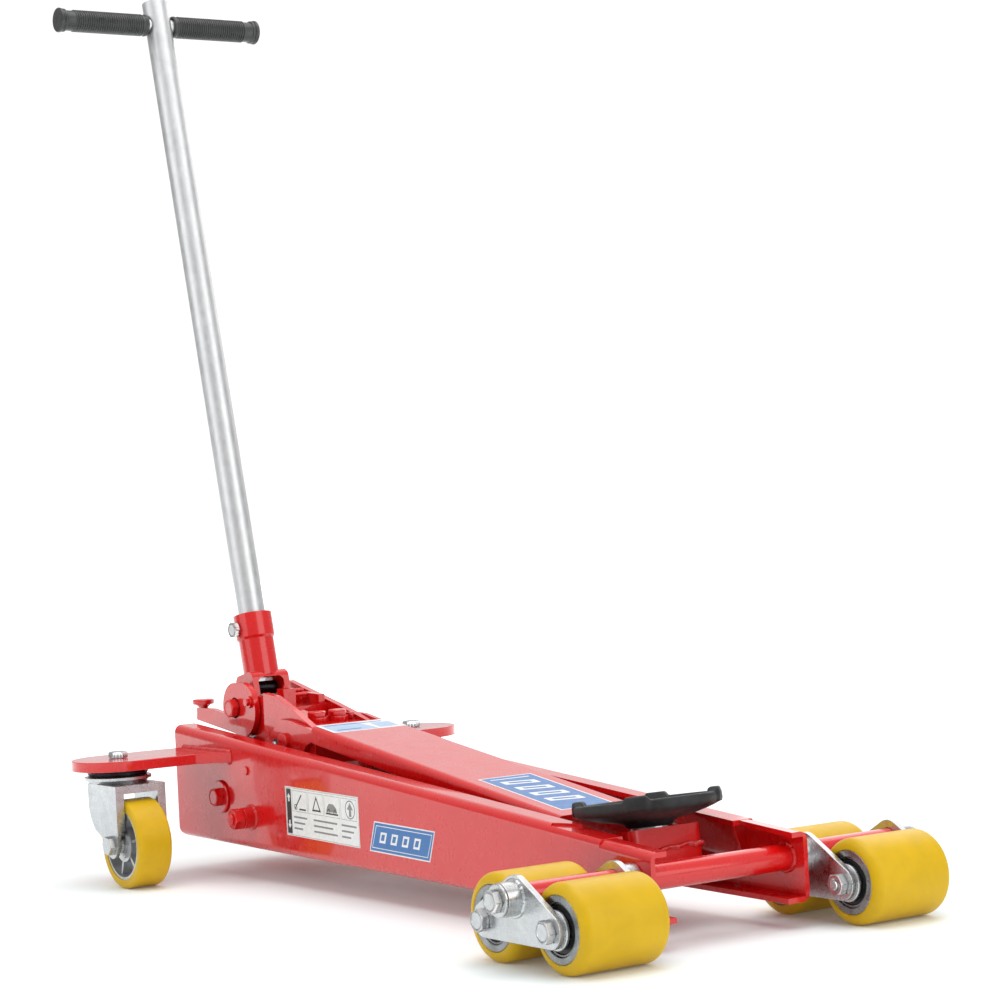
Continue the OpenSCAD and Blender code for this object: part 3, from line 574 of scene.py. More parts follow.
def make_grip(side):
    node = f"grip_{side}"
    s = AWAY[side]
    middle = centre(node)
    length = size_mm(node).y
    outward = Vector((0, s, 0))
    r = size_mm(node).z / 2 - 1.2
    tube_r = size_mm("handle_tube").y / 2
    inner = tube_r + 1.6
    length = abs(middle.y) / MM + length / 2 - inner
    start = Vector((middle.x, s * inner * MM, middle.z))
    profile = [
        (0, 9.4), (0, r - 1.6), (0.7, r - 0.5), (3.2, r - 0.2), (4.2, r - 0.8), (5.0, r - 1.5),
        (6.0, r - 1.5),
    ]
    at = 7.2
    pitch = 3.0
    ribs = int((length - 24) / pitch)
    for _ in range(ribs):
        profile += [(at, r - 1.5), (at + 0.5, r - 0.35), (at + 1.5, r - 0.25), (at + 2.1, r - 1.4)]
        at += pitch
    profile += [
        (length - 9.5, r - 1.5), (length - 8.6, r + 0.2), (length - 6.5, r + 0.4), (length - 5.2, r - 0.5),
    ]
    profile += [(length - 4.0, r + 0.9), (length - 1.4, r + 1.2), (length - 0.4, r + 0.5), (length, r - 1.2)]
    profile += [(length, 3.0), (length - 0.5, 1.5), (length - 0.5, 0)]
    grip = spun(f"{node}_ribbed", profile, start, outward, 96, closed=False)
    bevelled(grip, 0.25, 2, 30)
    stands_for(grip, "handle", node, GRIP)


for side in SIDES:
    make_grip(side)


# ---------- saddle ----------

def make_saddle():
    pin = joint("saddle_swivel")
    base = Vector(pin["pos_m"])
    up = Vector(pin["axis"]).normalized()
    ahead = Y.cross(up).normalized()
    spots = [v.co - base for v in nodes["saddle_pad"].data.vertices]
    heights = [p.dot(up) / MM for p in spots]
    r = max((p - up * p.dot(up)).length for p in spots) / MM
    top = max(heights)
    bottom = min(heights)
    steps = 240
    bm = bmesh.new()

    def lift(a):
        """How much of a lug stands at this angle: 4 lugs, on the diagonals."""
        near = min(abs((math.degrees(a) - c + 180) % 360 - 180) for c in (45, 135, 225, 315))
        t = max(0.0, min(1.0, (11.5 - near) / 4.0))
        return t * t * (3 - 2 * t)

    # each row: radius, height, extra height and radius on a lug
    rows = [
        (0.1, bottom + 4, 0, 0), (9.5, bottom + 4, 0, 0), (11.0, bottom, 0, 0), (20.5, bottom, 0, 0),
        (22.5, bottom + 0.8, 0, 0), (24.0, bottom + 3.0, 0, 0), (28.0, bottom + 5.4, 0, 0),
        (36.0, bottom + 7.0, 0, 0), (46.0, bottom + 8.8, 0, 0), (57.0, bottom + 11.6, 0, -0.4),
        (64.5, bottom + 14.0, 0.2, -0.6), (69.0, bottom + 16.2, 0.0, 0.2),
        (r - 2.3, bottom + 18.6, -1.6, 1.4), (r - 1.9, bottom + 21.0, -1.0, 1.9),
        (r - 2.2, top - 8.2, 1.8, 1.9), (r - 3.0, top - 6.6, 4.0, 1.6),
        (r - 4.4, top - 6.0, 4.4, 1.4), (r - 9.5, top - 6.0, 4.4, 0), (r - 11.4, top - 7.2, 4.0, 0),
        (r - 13.0, top - 10.6, 2.2, -0.6), (r - 15.5, top - 11.8, 0.6, 0), (r - 19.0, top - 12.0, 0, 0),
        (30.0, top - 12.0, 0, 0), (0.1, top - 12.0, 0, 0),
    ]
    rings = []
    for radius, height, rise, out in rows:
        ring = []
        for i in range(steps):
            a = 2 * math.pi * i / steps
            t = lift(a)
            rr = radius + out * t
            p = ahead * math.cos(a) * rr + Y * math.sin(a) * rr + up * (height + rise * t)
            ring.append(bm.verts.new(base + p * MM))
        rings.append(ring)
    for a, b in zip(rings, rings[1:]):
        for i in range(steps):
            j = (i + 1) % steps
            bm.faces.new((a[i], a[j], b[j], b[i]))
    bm.faces.new(rings[0])
    bm.faces.new(rings[-1])
    pad = from_bmesh(bm, "saddle_pad_moulded")
    bevelled(pad, 0.6, 2, 34)
    stands_for(pad, "saddle", "saddle_pad", SADDLE)


make_saddle()


# ---------- other bolts, nuts and washers ----------

def make_bolts():
    # front axle ends
    low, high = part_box("axle_end_bolts")
    x, z = (low.x + high.x) / 2, (low.z + high.z) / 2
    parts = []
    for s, turn in ((-1, 12), (1, 40)):
        out = Vector((0, s, 0))
        seat = Vector((x, s * high.y, z)) - out * 11 * MM
        parts.append(round_bar("washer", seat, out, 15, 3, 0.6))
        parts.append(hex_head("head", seat + out * 3 * MM, out, M12_FLATS, M12_HEAD, turn))
        parts.append(round_bar("shank", seat, -out, 5.9, 22, 0.4))
    stands_for(joined("axle_end_bolts_plated", parts), "frame", "axle_end_bolts", ZINC)

    # caster bolts
    low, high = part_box("caster_bolts")
    parts = []
    for side in SIDES:
        x = centre("caster_bolts").x
        y = (high.y - M12_FLATS * HEX_CORNER / 2 * MM) * AWAY[side]
        top = Vector((x, y, high.z - M12_HEAD * MM))
        parts.append(hex_head("head", top, Z, M12_FLATS, 7.6, 15))
        parts.append(round_bar("shank", Vector((x, y, low.z)), Z, 6, (top.z - low.z) / MM, 0.3))
        parts.append(hex_head("nut", Vector((x, y, low.z + 6 * MM)), -Z, M12_FLATS, 6, 5, nut=True, dish=0.2))
    stands_for(joined("caster_bolts_plated", parts), "frame", "caster_bolts", ZINC)

    # bolts that hold the hydraulic unit
    low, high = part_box("mount_bolts")
    x, z = (low.x + high.x) / 2, (low.z + high.z) / 2
    parts = []
    for s, turn in ((-1, 20), (1, 50)):
        out = Vector((0, s, 0))
        seat = Vector((x, s * high.y, z)) - out * 12 * MM
        parts.append(round_bar("washer", seat, out, 19, 3.4, 1.2))
        parts.append(hex_head("head", seat + out * 3.2 * MM, out, 20, 8.4, turn))
        parts.append(round_bar("shank", seat, -out, 7, 30, 0.4))
    stands_for(joined("mount_bolts_painted", parts), "frame", "mount_bolts", RED)

    # nuts on the tie tube
    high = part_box("tie_nuts")[1]
    tie_at = centre("tie_tube")
    x, z = tie_at.x, tie_at.z
    parts = []
    for s, turn in ((-1, 8), (1, 31)):
        out = Vector((0, s, 0))
        seat = Vector((x, s * high.y, z)) - out * 16 * MM
        parts.append(hex_head("nut", seat, out, 21, 12.6, turn))
        parts.append(round_bar("stud", seat + out * 11 * MM, out, 6.6, 4.6, 1.0))
        parts.append(round_bar("stud", seat, -out, 6.8, 40, 0.4))
    stands_for(joined("tie_nuts_painted", parts), "frame", "tie_nuts", RED)

    # the two short bolts that the yoke swings on
    low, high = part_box("yoke_bolt")
    pivot = Vector(joint("handle_pump")["pos_m"])
    head = Vector((pivot.x, low.y, pivot.z))
    end = Vector((pivot.x, high.y, pivot.z))
    parts = [
        hex_head("head", head + Y * 1.0 * MM, -Y, 20, 9.0, 25),
        round_bar("collar", head + Y * 9.2 * MM, -Y, 9.6, 8.4, 0.4),
        round_bar("shank", head + Y * 9 * MM, Y, 8, 17.2, 0.4),
        hex_head("nut", end - Y * 10.7 * MM, Y, 22, 9.5, 10, nut=True, dish=0.3),
        round_bar("shank", end - Y * 10 * MM, -Y, 8, 28.6, 0.4),
    ]
    stands_for(joined("yoke_bolt_painted", parts), "yoke", "yoke_bolt", RED)

    # bolt in the socket's collar
    low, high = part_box("socket_bolt")
    c = (low + high) / 2
    head = Vector((c.x, low.y, c.z))
    parts = [
        hex_head("head", head + Y * 7 * MM, -Y, 17, 7, 15),
        round_bar("shank", head + Y * 6 * MM, Y, 5, 10.2, 0.4),
    ]
    stands_for(joined("socket_bolt_plated", parts), "yoke", "socket_bolt", ZINC)


make_bolts()


# ---------- weld beads ----------

def weld(name, points, radius, body, material=RED, slot="red_paint", seed=0.0, pitch=3.2):
    """A rippled bead of weld along points, in metres, half sunk into the joint that it fills."""
    path = [Vector(p) for p in points]
    lengths = [0.0]
    for a, b in zip(path, path[1:]):
        lengths.append(lengths[-1] + (b - a).length)
    count = max(8, int(lengths[-1] / (0.55 * MM)))
    bm = bmesh.new()
    rings = []
    k = 0
    for i in range(count + 1):
        d = lengths[-1] * i / count
        while k < len(path) - 2 and lengths[k + 1] < d:
            k += 1
        t = (d - lengths[k]) / max(1e-9, lengths[k + 1] - lengths[k])
        p = path[k].lerp(path[k + 1], t)
        way = (path[min(k + 1, len(path) - 1)] - path[k]).normalized()
        side = way.orthogonal().normalized()
        other = way.cross(side)
        phase = (d / MM / pitch + seed) % 1.0
        swell = 1.0 + 0.16 * math.sqrt(max(0.0, 1 - phase)) + 0.09 * math.sin(d / MM * 0.31 + seed * 7)
        swell += 0.05 * math.sin(d / MM * 0.83 + seed * 3)
        ends = min(1.0, (min(i, count - i) * 0.55 + 0.6) / 3.0)
        r = radius * swell * MM * (0.45 + 0.55 * ends)
        ring = []
        for j in range(12):
            a = 2 * math.pi * j / 12
            ring.append(bm.verts.new(p + (side * math.cos(a) + other * math.sin(a)) * r))
        rings.append(ring)
    for a, b in zip(rings, rings[1:]):
        for j in range(12):
            bm.faces.new((a[j], a[(j + 1) % 12], b[(j + 1) % 12], b[j]))
    bm.faces.new(rings[0])
    bm.faces.new(rings[-1])
    return added(from_bmesh(bm, name), body, material)


def circle_points(middle, axis, radius, start=0, end=360, steps=48):
    axis = Vector(axis).normalized()
    side = axis.orthogonal().normalized()
    other = axis.cross(side)
    points = []
    for i in range(steps + 1):
        a = math.radians(start + (end - start) * i / steps)
        points.append(middle + (side * math.cos(a) + other * math.sin(a)) * radius * MM)
    return points


def make_welds():
    half_width = abs(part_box("side_plate_right")[0].y)
    for side in SIDES:
        s = AWAY[side]
        face = s * half_width
        inside = face - s * 5 * MM
        b_low, b_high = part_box(f"outrigger_{side}")
        a, b = b_low.x + 8 * MM, b_high.x - 2 * MM
        weld(f"bracket_weld_top_{side}", [(a, face, b_high.z), (b, face, b_high.z)], 3.0, "frame", seed=0.2)
        weld(f"bracket_weld_under_{side}", [(a, face, b_low.z), (b, face, b_low.z)], 2.6, "frame", seed=0.6)
        axle_at = centre("front_axle")
        r = size_mm("front_axle").z / 2
        for where, tag in ((face, "outer"), (inside, "inner")):
            ring = circle_points(Vector((axle_at.x, where, axle_at.z)), Y, r + 0.6)
            weld(f"axle_weld_{tag}_{side}", ring, 2.3, "frame", seed=0.4)
        tie_at = centre("tie_tube")
        ring = circle_points(Vector((tie_at.x, face, tie_at.z)), Y, 12.4)
        weld(f"tie_weld_{side}", ring, 2.0, "frame", seed=0.1)
        c_low, c_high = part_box("rear_cross_plate")
        ends = [(c_low.x + 6 * MM, inside, c_low.z + 8 * MM), (c_low.x + 6 * MM, inside, c_high.z - 2 * MM)]
        weld(f"cross_weld_{side}", ends, 2.4, "frame", seed=0.7)
        # boss of the bogie, where it meets the outer plate
        f_low, f_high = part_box(f"bogie_frame_{side}")
        outer = max(abs(f_low.y), abs(f_high.y)) - 15.8 * MM
        ring = circle_points(Vector((axle_at.x, s * outer, axle_at.z)), Y, 15.8)
        weld(f"boss_weld_{side}", ring, 1.9, f"bogie_{side}", ZINC, "zinc", 0.3)


make_welds()


# ---------- small fittings ----------

def surface_z(node, x, y):
    """Height of a node's upper surface under a point, by a ray from above."""
    obj = nodes[node]
    hit, place, _, _ = obj.ray_cast(Vector((x, y, 2)), Vector((0, 0, -1)))
    return place.z if hit else None


def make_fittings():
    # pin in each ear of the lift arm, in a dark ring
    pivot = Vector(joint("arm_lift")["pos_m"])
    for side in SIDES:
        s = AWAY[side]
        out = Vector((0, s, 0))
        seat = pivot + Vector((-0.0205, s * 0.0516, -0.0045))
        ring = round_bar(f"ear_ring_{side}", seat - out * 0.4 * MM, out, 7.4, 2.0, 0.6)
        added(ring, "arm", SEAL)
        pin = round_bar(f"ear_pin_{side}", seat, out, 4.6, 4.4, 1.2)
        added(pin, "arm", ZINC)
    # weld across the front of the carrier, and gussets inside the side plates
    q = Vector(joint("carrier_level")["pos_m"])
    up = Vector(joint("saddle_swivel")["axis"]).normalized()
    ahead = Y.cross(up).normalized()
    wave = [
        (-42, 0.5), (-30, -0.5), (-18, -1.5), (-9, 1.5), (0, 3.0), (11, 2.4), (22, 4.5), (31, 2.2), (42, 3.2),
    ]
    seam = [q + (ahead * 32.4 + Y * v + up * w) * MM for v, w in wave]
    weld("carrier_weld", seam, 2.4, "carrier", seed=0.5)
    axle_x = centre("front_axle").x
    for side in SIDES:
        s = AWAY[side]
        low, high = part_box(f"side_plate_{side}")
        inside = s * (max(abs(low.y), abs(high.y)) - 4.8 * MM)
        ceiling = surface_z(f"side_plate_{side}", axle_x - 0.055, inside) - 5.4 * MM
        start = Vector((axle_x - 0.058, inside, ceiling))
        outline = [(0, 0), (14.0, 0), (14.0, -3), (2.5, -38), (0, -38)]
        rib = prism(f"front_gusset_{side}", outline, start, Vector((0, -s, 0)), Z, 4.5 * s)
        bevelled(rib, 0.5, 2, 30)
        added(rib, "frame", RED)
    # ribbed sleeve of the return spring, low beside the pump block
    profile = [(0, 0), (0, 4.6)]
    for k in range(9):
        profile += [(0.6 + k * 3.8, 5.2), (2.2 + k * 3.8, 5.2), (2.8 + k * 3.8, 3.9), (3.8 + k * 3.8, 3.9)]
    profile += [(35.2, 4.6), (35.2, 0)]
    start = pivot + Vector((-0.1105, -0.0400, -0.0045))
    sleeve = spun("return_sleeve", profile, start, Vector((1, 0, -0.13)), 48, closed=False)
    bevelled(sleeve, 0.3, 2, 40)
    added(sleeve, "frame", SEAL)


make_fittings()


# ---------- labels ----------

def flat_ink(name, color, rough=0.35):
    """Printed film: even colour with a faint grain, small scuffs and a soft gloss."""
    look = Look(name, color, rough, Coat_Weight=0.3, Coat_Roughness=0.12)
    tone = look.ramp(look.noise(160, 4, 0.6), [(0.3, scaled(color, 0.9)), (0.75, scaled(color, 1.06, 1))])
    scuff = look.spread(look.noise(420, 5, 0.75, 1.2), 0.0, 0.16, 0.6, 0.8)
    look.color(look.mixed(scuff, tone, (0.55, 0.55, 0.55)))
    look.rough(look.spread(look.noise(120, 4, 0.65), rough - 0.08, rough + 0.12, 0.3, 0.75))
    look.bump(look.noise(260, 2), 0.00008, 0.15)
    return look.mat


WHITE_INK = flat_ink("label_white", (0.80, 0.80, 0.79))
BLACK_INK = flat_ink("label_black", (0.018, 0.018, 0.02))
GREY_INK = flat_ink("label_grey", (0.22, 0.22, 0.23))
BLUE_INK = flat_ink("label_blue", (0.012, 0.14, 0.42))
PALE_INK = flat_ink("label_pale_blue", (0.36, 0.50, 0.70))
INKS = [WHITE_INK, BLACK_INK, GREY_INK, BLUE_INK, PALE_INK]
WHITE, BLACK, GREY, BLUE, PALE = range(5)


class Label:
    """A thin printed film. Shapes are drawn in mm on it, each print layer standing a hair above the last."""

    def __init__(self, name, origin, along, across, normal):
        self.name = name
        self.origin = Vector(origin)
        self.along = Vector(along).normalized()
        self.across = Vector(across).normalized()
        self.normal = Vector(normal).normalized()
        self.bm = bmesh.new()

    def at(self, u, v, height):
        return self.origin + (self.along * u + self.across * v + self.normal * height) * MM

    def shape(self, outline, ink, layer=1):
        top = [self.bm.verts.new(self.at(u, v, 0.10 + 0.035 * layer)) for u, v in outline]
        low = [self.bm.verts.new(self.at(u, v, -0.03)) for u, v in outline]
        faces = [self.bm.faces.new(top)]
        n = len(outline)
        if layer == 0:
            rim = [(i, (i + 1) % n) for i in range(n)]
            faces += [self.bm.faces.new((top[i], top[j], low[j], low[i])) for i, j in rim]
        for face in faces:
            face.material_index = ink
            face.normal_update()
            if face is faces[0] and face.normal.dot(self.normal) < 0:
                face.normal_flip()

    def bar(self, u0, v0, u1, v1, ink, layer=1):
        self.shape([(u0, v0), (u1, v0), (u1, v1), (u0, v1)], ink, layer)

    def ring(self, u, v, radius, width, ink, layer=1, steps=40):
        outer = arc_points(u, v, radius, 0, 360, steps)
        inner = arc_points(u, v, radius - width, 0, 360, steps)
        for i in range(steps):
            self.shape([outer[i], outer[i + 1], inner[i + 1], inner[i]], ink, layer)

    def frame(self, u0, v0, u1, v1, width, ink, layer=1):
        self.bar(u0, v0, u1, v0 + width, ink, layer)
        self.bar(u0, v1 - width, u1, v1, ink, layer)
        self.bar(u0, v0 + width, u0 + width, v1 - width, ink, layer)
        self.bar(u1 - width, v0 + width, u1, v1 - width, ink, layer)

    def arrow(self, u, v, size, ink, layer=1, up=1):
        self.shape([
            (u - size * 0.16, v - up * size * 0.5), (u + size * 0.16, v - up * size * 0.5),
            (u + size * 0.16, v), (u + size * 0.42, v), (u, v + up * size * 0.5), (u - size * 0.42, v),
            (u - size * 0.16, v),
        ], ink, layer)

    def done(self, body):
        mesh = bpy.data.meshes.new(self.name)
        self.bm.to_mesh(mesh)
        self.bm.free()
        obj = linked(mesh, self.name)
        for ink in INKS:
            obj.data.materials.append(ink)
        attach(obj, body)
        return obj


def make_labels():
    axle_x = centre("front_axle").x
    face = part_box("side_plate_right")[0].y
    # instruction plate: plain shapes only
    tilt = Vector((155.7, 0, -2.8))
    start = Vector((axle_x - 0.6345, face, 0.0584))
    card = Label("instruction_label", start, tilt, Vector((0, 0, 1)), -Y)
    w, h = 155.5, 54.0
    card.bar(0, 0, w, h, WHITE, 0)
    card.frame(0.9, 0.9, w - 0.9, h - 0.9, 0.5, GREY)
    card.bar(2.4, 2.4, 12.5, h - 2.4, BLACK)
    card.arrow(7.4, h - 12, 9, WHITE, 2)
    card.arrow(7.4, 12.5, 9, WHITE, 2, -1)
    box_pitch = 34.6
    for k in range(4):
        u = 15 + k * box_pitch
        card.frame(u, 27.5, u + 32.5, h - 3.4, 0.45, GREY)
    card.shape([(19, 30), (21, 30), (36, 46), (34.4, 47.2)], BLACK)
    card.ring(22, 32.5, 3.2, 0.9, BLACK)
    card.bar(30, 29.6, 44, 31.4, BLACK)
    card.shape([(57.5, 31), (76.5, 31), (67, 48)], BLACK)
    card.shape([(60.7, 32.9), (73.3, 32.9), (67, 44.2)], WHITE, 2)
    card.bar(87, 30.2, 113, 32.0, BLACK)
    card.shape([(88, 33), (111, 33), (109, 38), (103, 42), (94, 42), (90, 38)], GREY)
    card.ring(93.5, 33.4, 3.0, 1.2, BLACK, 2)
    card.ring(106.5, 33.4, 3.0, 1.2, BLACK, 2)
    card.arrow(138, 39, 15, GREY)
    card.ring(138, 39, 10, 1.0, BLACK)
    for k in range(3):
        card.bar(17, 20.4 - k * 6.2, 46 - k * 5, 22.4 - k * 6.2, GREY)
        card.bar(60, 20.4 - k * 6.2, 110 - (k % 2) * 9, 22.4 - k * 6.2, GREY)
        card.bar(119, 20.4 - k * 6.2, 150 - k * 6, 22.4 - k * 6.2, GREY)
    card.done("frame")

    # blue plate beside it, with slanted ends
    start = Vector((axle_x - 0.4599, face, 0.0545))
    plate = Label("blue_label", start, Vector((117.3, 0, -2.4)), Vector((0, 0, 1)), -Y)
    w, h, slant = 117.3, 32.4, 11.8

    def slab(inset, ink, layer):
        k = inset * slant / h
        plate.shape([
            (inset + k, inset), (w - inset * 1.3 + k, inset), (w + slant - inset - k, h - inset),
            (slant + inset * 1.3 - k, h - inset),
        ], ink, layer)

    slab(0, WHITE, 0)
    slab(1.3, BLUE, 1)
    slab(4.0, WHITE, 2)
    slab(4.8, BLUE, 3)
    for k in range(4):
        u = 20 + k * 22
        plate.shape([(u, 10.5), (u + 12, 10.5), (u + 16.5, 22), (u + 4.5, 22)], WHITE, 4)
        plate.shape([(u + 3.4, 13), (u + 9.6, 13), (u + 12.6, 19.6), (u + 6.4, 19.6)], BLUE, 5)
    plate.done("frame")

    # film across the back of the lift arm
    def on_arm(x, y):
        return Vector((x, y, surface_z("lift_arm", x, y)))

    def across_arm(name, x0, x1):
        a = on_arm(axle_x + x0, 0)
        b = on_arm(axle_x + x1, 0)
        return Label(name, a, b - a, Y, (b - a).cross(Y)), (b - a).length / MM

    strip, length = across_arm("rear_arm_label", -0.6395, -0.598)
    strip.shape([(0, -47.5), (length, -47.5), (length, 47.5), (0, 47.5)], WHITE, 0)
    strip.shape([(2.5, -43), (length - 2.5, -43), (length - 2.5, 12), (2.5, 4)], PALE)
    strip.shape([(6, -40), (9, -40), (9, 34), (6, 34)], BLUE, 2)
    strip.shape([(length - 12, -38), (length - 8, -38), (length - 8, -6), (length - 12, -6)], BLUE, 2)
    strip.shape([(12, 16), (length - 6, 16), (length - 6, 40), (12, 40)], PALE, 1)
    strip.done("arm")

    panel, length = across_arm("front_arm_label", -0.338, -0.192)
    panel.shape([(0, -33), (length, -33), (length, 33), (0, 33)], WHITE, 0)
    panel.shape([(2, -31), (length - 2, -31), (length - 2, 31), (2, 31)], BLUE, 1)
    panel.shape([(9, -24), (11.5, -24), (11.5, 24), (9, 24)], WHITE, 2)
    for k in range(4):
        u = 20 + k * 26
        panel.shape([(u, -20), (u + 13, -20), (u + 18, 20), (u + 5, 20)], WHITE, 2)
        panel.shape([(u + 4.6, -13), (u + 9.8, -13), (u + 13.4, 13), (u + 8.2, 13)], BLUE, 3)
    panel.done("arm")


make_labels()


# ---------- carried-over nodes ----------

def clean(obj, width=0.5, segments=2, angle=32):
    """Softens a CAD node's edges in the render: its flat faces are merged, then its edges rounded."""
    weld = obj.modifiers.new("Weld", "WELD")
    weld.merge_threshold = 0.00002
    flat = obj.modifiers.new("Flat", "DECIMATE")
    flat.decimate_type = "DISSOLVE"
    flat.angle_limit = math.radians(0.6)
    bevel = obj.modifiers.new("Bevel", "BEVEL")
    bevel.width = width * MM
    bevel.segments = segments
    bevel.limit_method = "ANGLE"
    bevel.angle_limit = math.radians(angle)
    bevel.miter_outer = "MITER_ARC"
    weighted = obj.modifiers.new("Normals", "WEIGHTED_NORMAL")
    weighted.keep_sharp = True


CARRIED = {
    "side_plate_right": (RED, 0.8), "side_plate_left": (RED, 0.8), "front_axle": (RED, 0.5),
    "rear_cross_plate": (RED, 0.6), "tie_tube": (RED, 0.5),
    "outrigger_right": (RED, 0.8), "outrigger_left": (RED, 0.8),
    "pump_block": (CAST_RED, 0.9), "block_plugs": (RED, 0.6), "valve_screws": (RED, 0.4),
    "lift_arm": (RED, 0.7), "arm_pivot_shaft": (RED, 0.8), "saddle_carrier": (RED, 0.8),
    "handle_socket": (CAST_RED, 1.2), "pedal_lever": (RED, 0.9),
    "pedal_pad": (RED, 0.5), "link_anchors": (RED, 0.4), "link_bar_right": (DULL_ZINC, 0.5),
    "link_bar_left": (DULL_ZINC, 0.5), "crank_roller": (ZINC, 0.5), "saddle_pivot_pins": (ZINC, 0.5),
    "saddle_stud": (ZINC, 0.3), "lift_cylinder": (BLACK_STEEL, 0.5), "ram_rod": (ZINC, 0.4),
    "pump_piston": (ZINC, 0.4), "pump_roller": (GLOSS_BLACK, 0.8), "pump_spring": (BLACK_STEEL, 0.2),
    "caster_races": (BLACK_STEEL, 0.5), "caster_fork_right": (ZINC, 0.6), "caster_fork_left": (ZINC, 0.6),
    "caster_axle_right": (ZINC, 0.4), "caster_axle_left": (ZINC, 0.4), "caster_rim_right": (ALLOY, 0.4),
    "caster_rim_left": (ALLOY, 0.4), "caster_tyre_right": (RED, 0.4), "caster_tyre_left": (RED, 0.4),
    "bogie_frame_right": (ZINC, 0.6), "bogie_frame_left": (ZINC, 0.6),
}
for name, (material, width) in CARRIED.items():
    node = nodes[name]
    node.data.materials.clear()
    node.data.materials.append(material)
    clean(node, width)

TUBE = tube_steel(joint("handle_twist")["axis"])
BAR = tube_steel((0, 1, 0))
for name, material in (("handle_tube", TUBE), ("crossbar", BAR)):
    nodes[name].data.materials.clear()
    nodes[name].data.materials.append(material)
    clean(nodes[name], 0.4)
for side in SIDES:
    tyre = nodes[f"caster_tyre_{side}"]
    tyre.data.materials.clear()
    tyre.data.materials.append(polyurethane(f"pu_caster_{side}", centre(f"caster_tyre_{side}")))


# ---------- camera, light and floor ----------

def camera_matrix(yaw, pitch, roll, place):
    """Yaw, pitch and roll in degrees. Yaw 0 looks along +Y, and roll turns the picture."""
    yaw, pitch, roll = (math.radians(a) for a in (yaw, pitch, roll))
    back = Vector((math.sin(yaw) * math.cos(pitch), -math.cos(yaw) * math.cos(pitch), math.sin(pitch)))
    right = Vector((math.cos(yaw), math.sin(yaw), 0))
    up = back.cross(right)
    turned_right = right * math.cos(roll) + up * math.sin(roll)
    turned_up = up * math.cos(roll) - right * math.sin(roll)
    rows = [(turned_right[i], turned_up[i], back[i], place[i]) for i in range(3)]
    return Matrix((*rows, (0, 0, 0, 1)))


LENS = 94.93
CAMERA_TURN = (55.78, -0.06, -2.94)
CAMERA_AHEAD = 1.9176  # from the front axle, along the chassis
CAMERA_ASIDE = -1.5216
CAMERA_HIGH = 0.4125

axle = centre("front_axle")
camera = bpy.data.cameras.new("Camera")
camera.lens = LENS
camera.sensor_width = 36
camera_object = bpy.data.objects.new("Camera", camera)
bpy.context.scene.collection.objects.link(camera_object)
stand = Vector((axle.x + CAMERA_AHEAD, CAMERA_ASIDE, CAMERA_HIGH))
camera_object.matrix_world = camera_matrix(*CAMERA_TURN, stand)
bpy.context.scene.camera = camera_object


def area_light(name, place, target, size, power, size_y=None):
    light = bpy.data.lights.new(name, "AREA")
    light.shape = "RECTANGLE"
    light.size = size
    light.size_y = size_y or size
    light.energy = power
    obj = bpy.data.objects.new(name, light)
    bpy.context.scene.collection.objects.link(obj)
    obj.location = place
    obj.rotation_euler = (Vector(target) - Vector(place)).to_track_quat("-Z", "Y").to_euler()
    return obj


area_light("Overhead", (0.3, 0.0, 2.9), (0, 0, 0.1), 2.6, 46)
area_light("Left", (-0.6, -3.0, 1.7), (-0.1, 0, 0.25), 2.6, 26)
area_light("Right", (3.2, 0.9, 1.6), (0, 0, 0.2), 2.6, 38)
area_light("Back", (-1.2, 2.6, 2.2), (0, 0, 0.3), 2.6, 26)

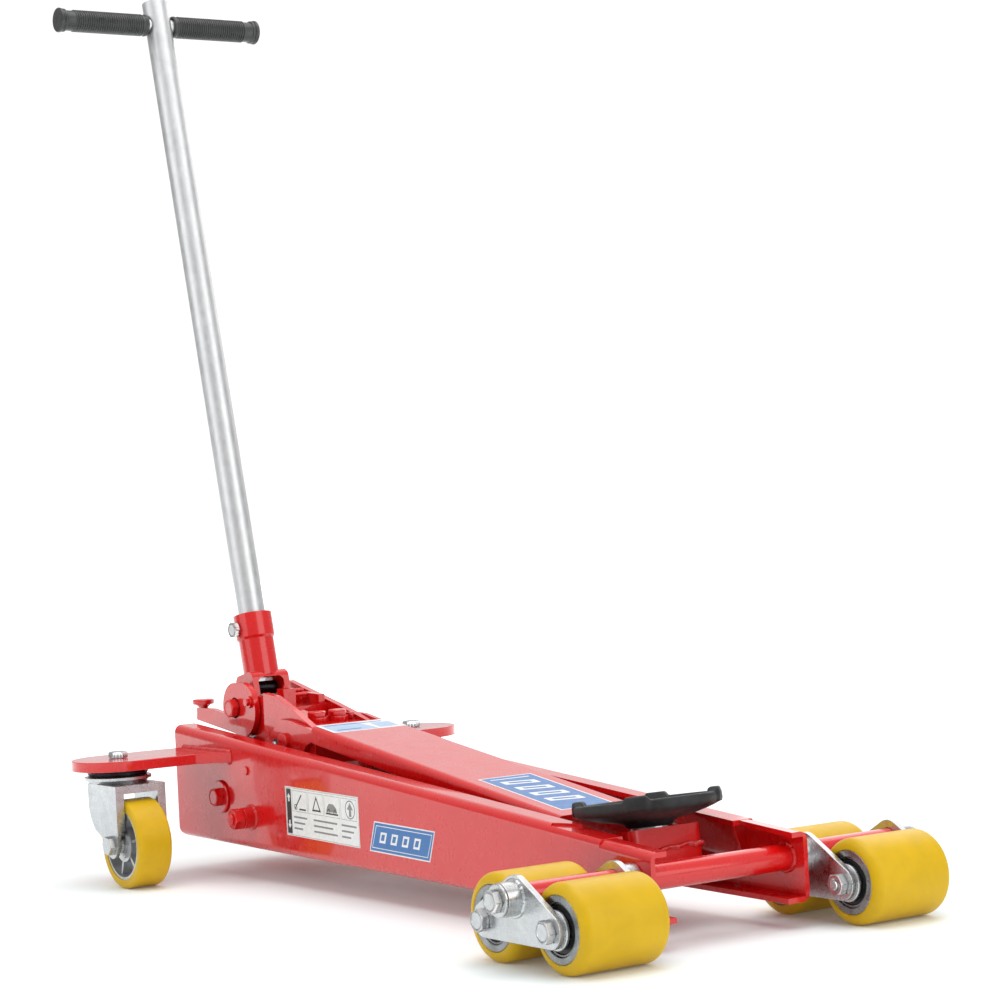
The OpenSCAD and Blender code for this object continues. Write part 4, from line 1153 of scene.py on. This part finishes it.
# The studio's walls light the jack softly, brighter overhead and behind it, and look plain white
# from the camera.
world = bpy.data.worlds.new("Studio")
bpy.context.scene.world = world
world.use_nodes = True
tree = world.node_tree
shade = tree.nodes["Background"]
shade.inputs["Color"].default_value = (1, 1, 1, 1)
place = tree.nodes.new("ShaderNodeTexCoord")
split = tree.nodes.new("ShaderNodeSeparateXYZ")
rise = tree.nodes.new("ShaderNodeMapRange")
rise.inputs["From Min"].default_value = 0.0
rise.inputs["From Max"].default_value = 0.8
rise.inputs["To Min"].default_value = 0.29
rise.inputs["To Max"].default_value = 0.72
path = tree.nodes.new("ShaderNodeLightPath")
pick = tree.nodes.new("ShaderNodeMix")
pick.inputs[3].default_value = 1.05
tree.links.new(place.outputs["Generated"], split.inputs[0])
tree.links.new(split.outputs["Z"], rise.inputs["Value"])
tree.links.new(path.outputs["Is Camera Ray"], pick.inputs["Factor"])
behind = tree.nodes.new("ShaderNodeVectorMath")
behind.operation = "DOT_PRODUCT"
behind.inputs[1].default_value = (-0.83, 0.56, 0)
glow = tree.nodes.new("ShaderNodeMapRange")
glow.inputs["From Min"].default_value = 0.7
glow.inputs["From Max"].default_value = 0.96
glow.inputs["To Max"].default_value = 0.45
whole = tree.nodes.new("ShaderNodeMath")
tree.links.new(place.outputs["Generated"], behind.inputs[0])
tree.links.new(behind.outputs["Value"], glow.inputs["Value"])
tree.links.new(rise.outputs["Result"], whole.inputs[0])
tree.links.new(glow.outputs["Result"], whole.inputs[1])
tree.links.new(whole.outputs[0], pick.inputs[2])
tree.links.new(pick.outputs[0], shade.inputs["Strength"])
bpy.context.scene.view_settings.view_transform = "Standard"

bm = bmesh.new()
bmesh.ops.create_grid(bm, x_segments=4, y_segments=4, size=12)
floor = from_bmesh(bm, "Floor")
# Painted shade: the floor's colour is tinted cyan to cancel the red light bounced onto it from the jack, so
# the shade under the jack stays grey.
floor_look = Look("studio_floor_painted_light", (0.87, 0.925, 0.93), 0.6)
floor_look.rough(floor_look.spread(floor_look.noise(3, 3), 0.55, 0.68))
floor_look.bump(floor_look.noise(60, 3), 0.0002, 0.05)
# Painted light: the floor glows, weakly (0.06) within 0.9 m of its middle and rising to full strength at 2.6
# m, so that it fades into the white backdrop.
reach = floor_look.add("ShaderNodeVectorMath", operation="LENGTH")
floor_look.link(floor_look.place, reach.inputs[0])
painted_floor_glow = floor_look.spread(reach.outputs["Value"], 0.06, 1.0, 0.9, 2.6)
floor_look.link(painted_floor_glow, floor_look.shader.inputs["Emission Strength"])
floor_look.shader.inputs["Emission Color"].default_value = (1, 1, 1, 1)
floor.data.materials.append(floor_look.mat)
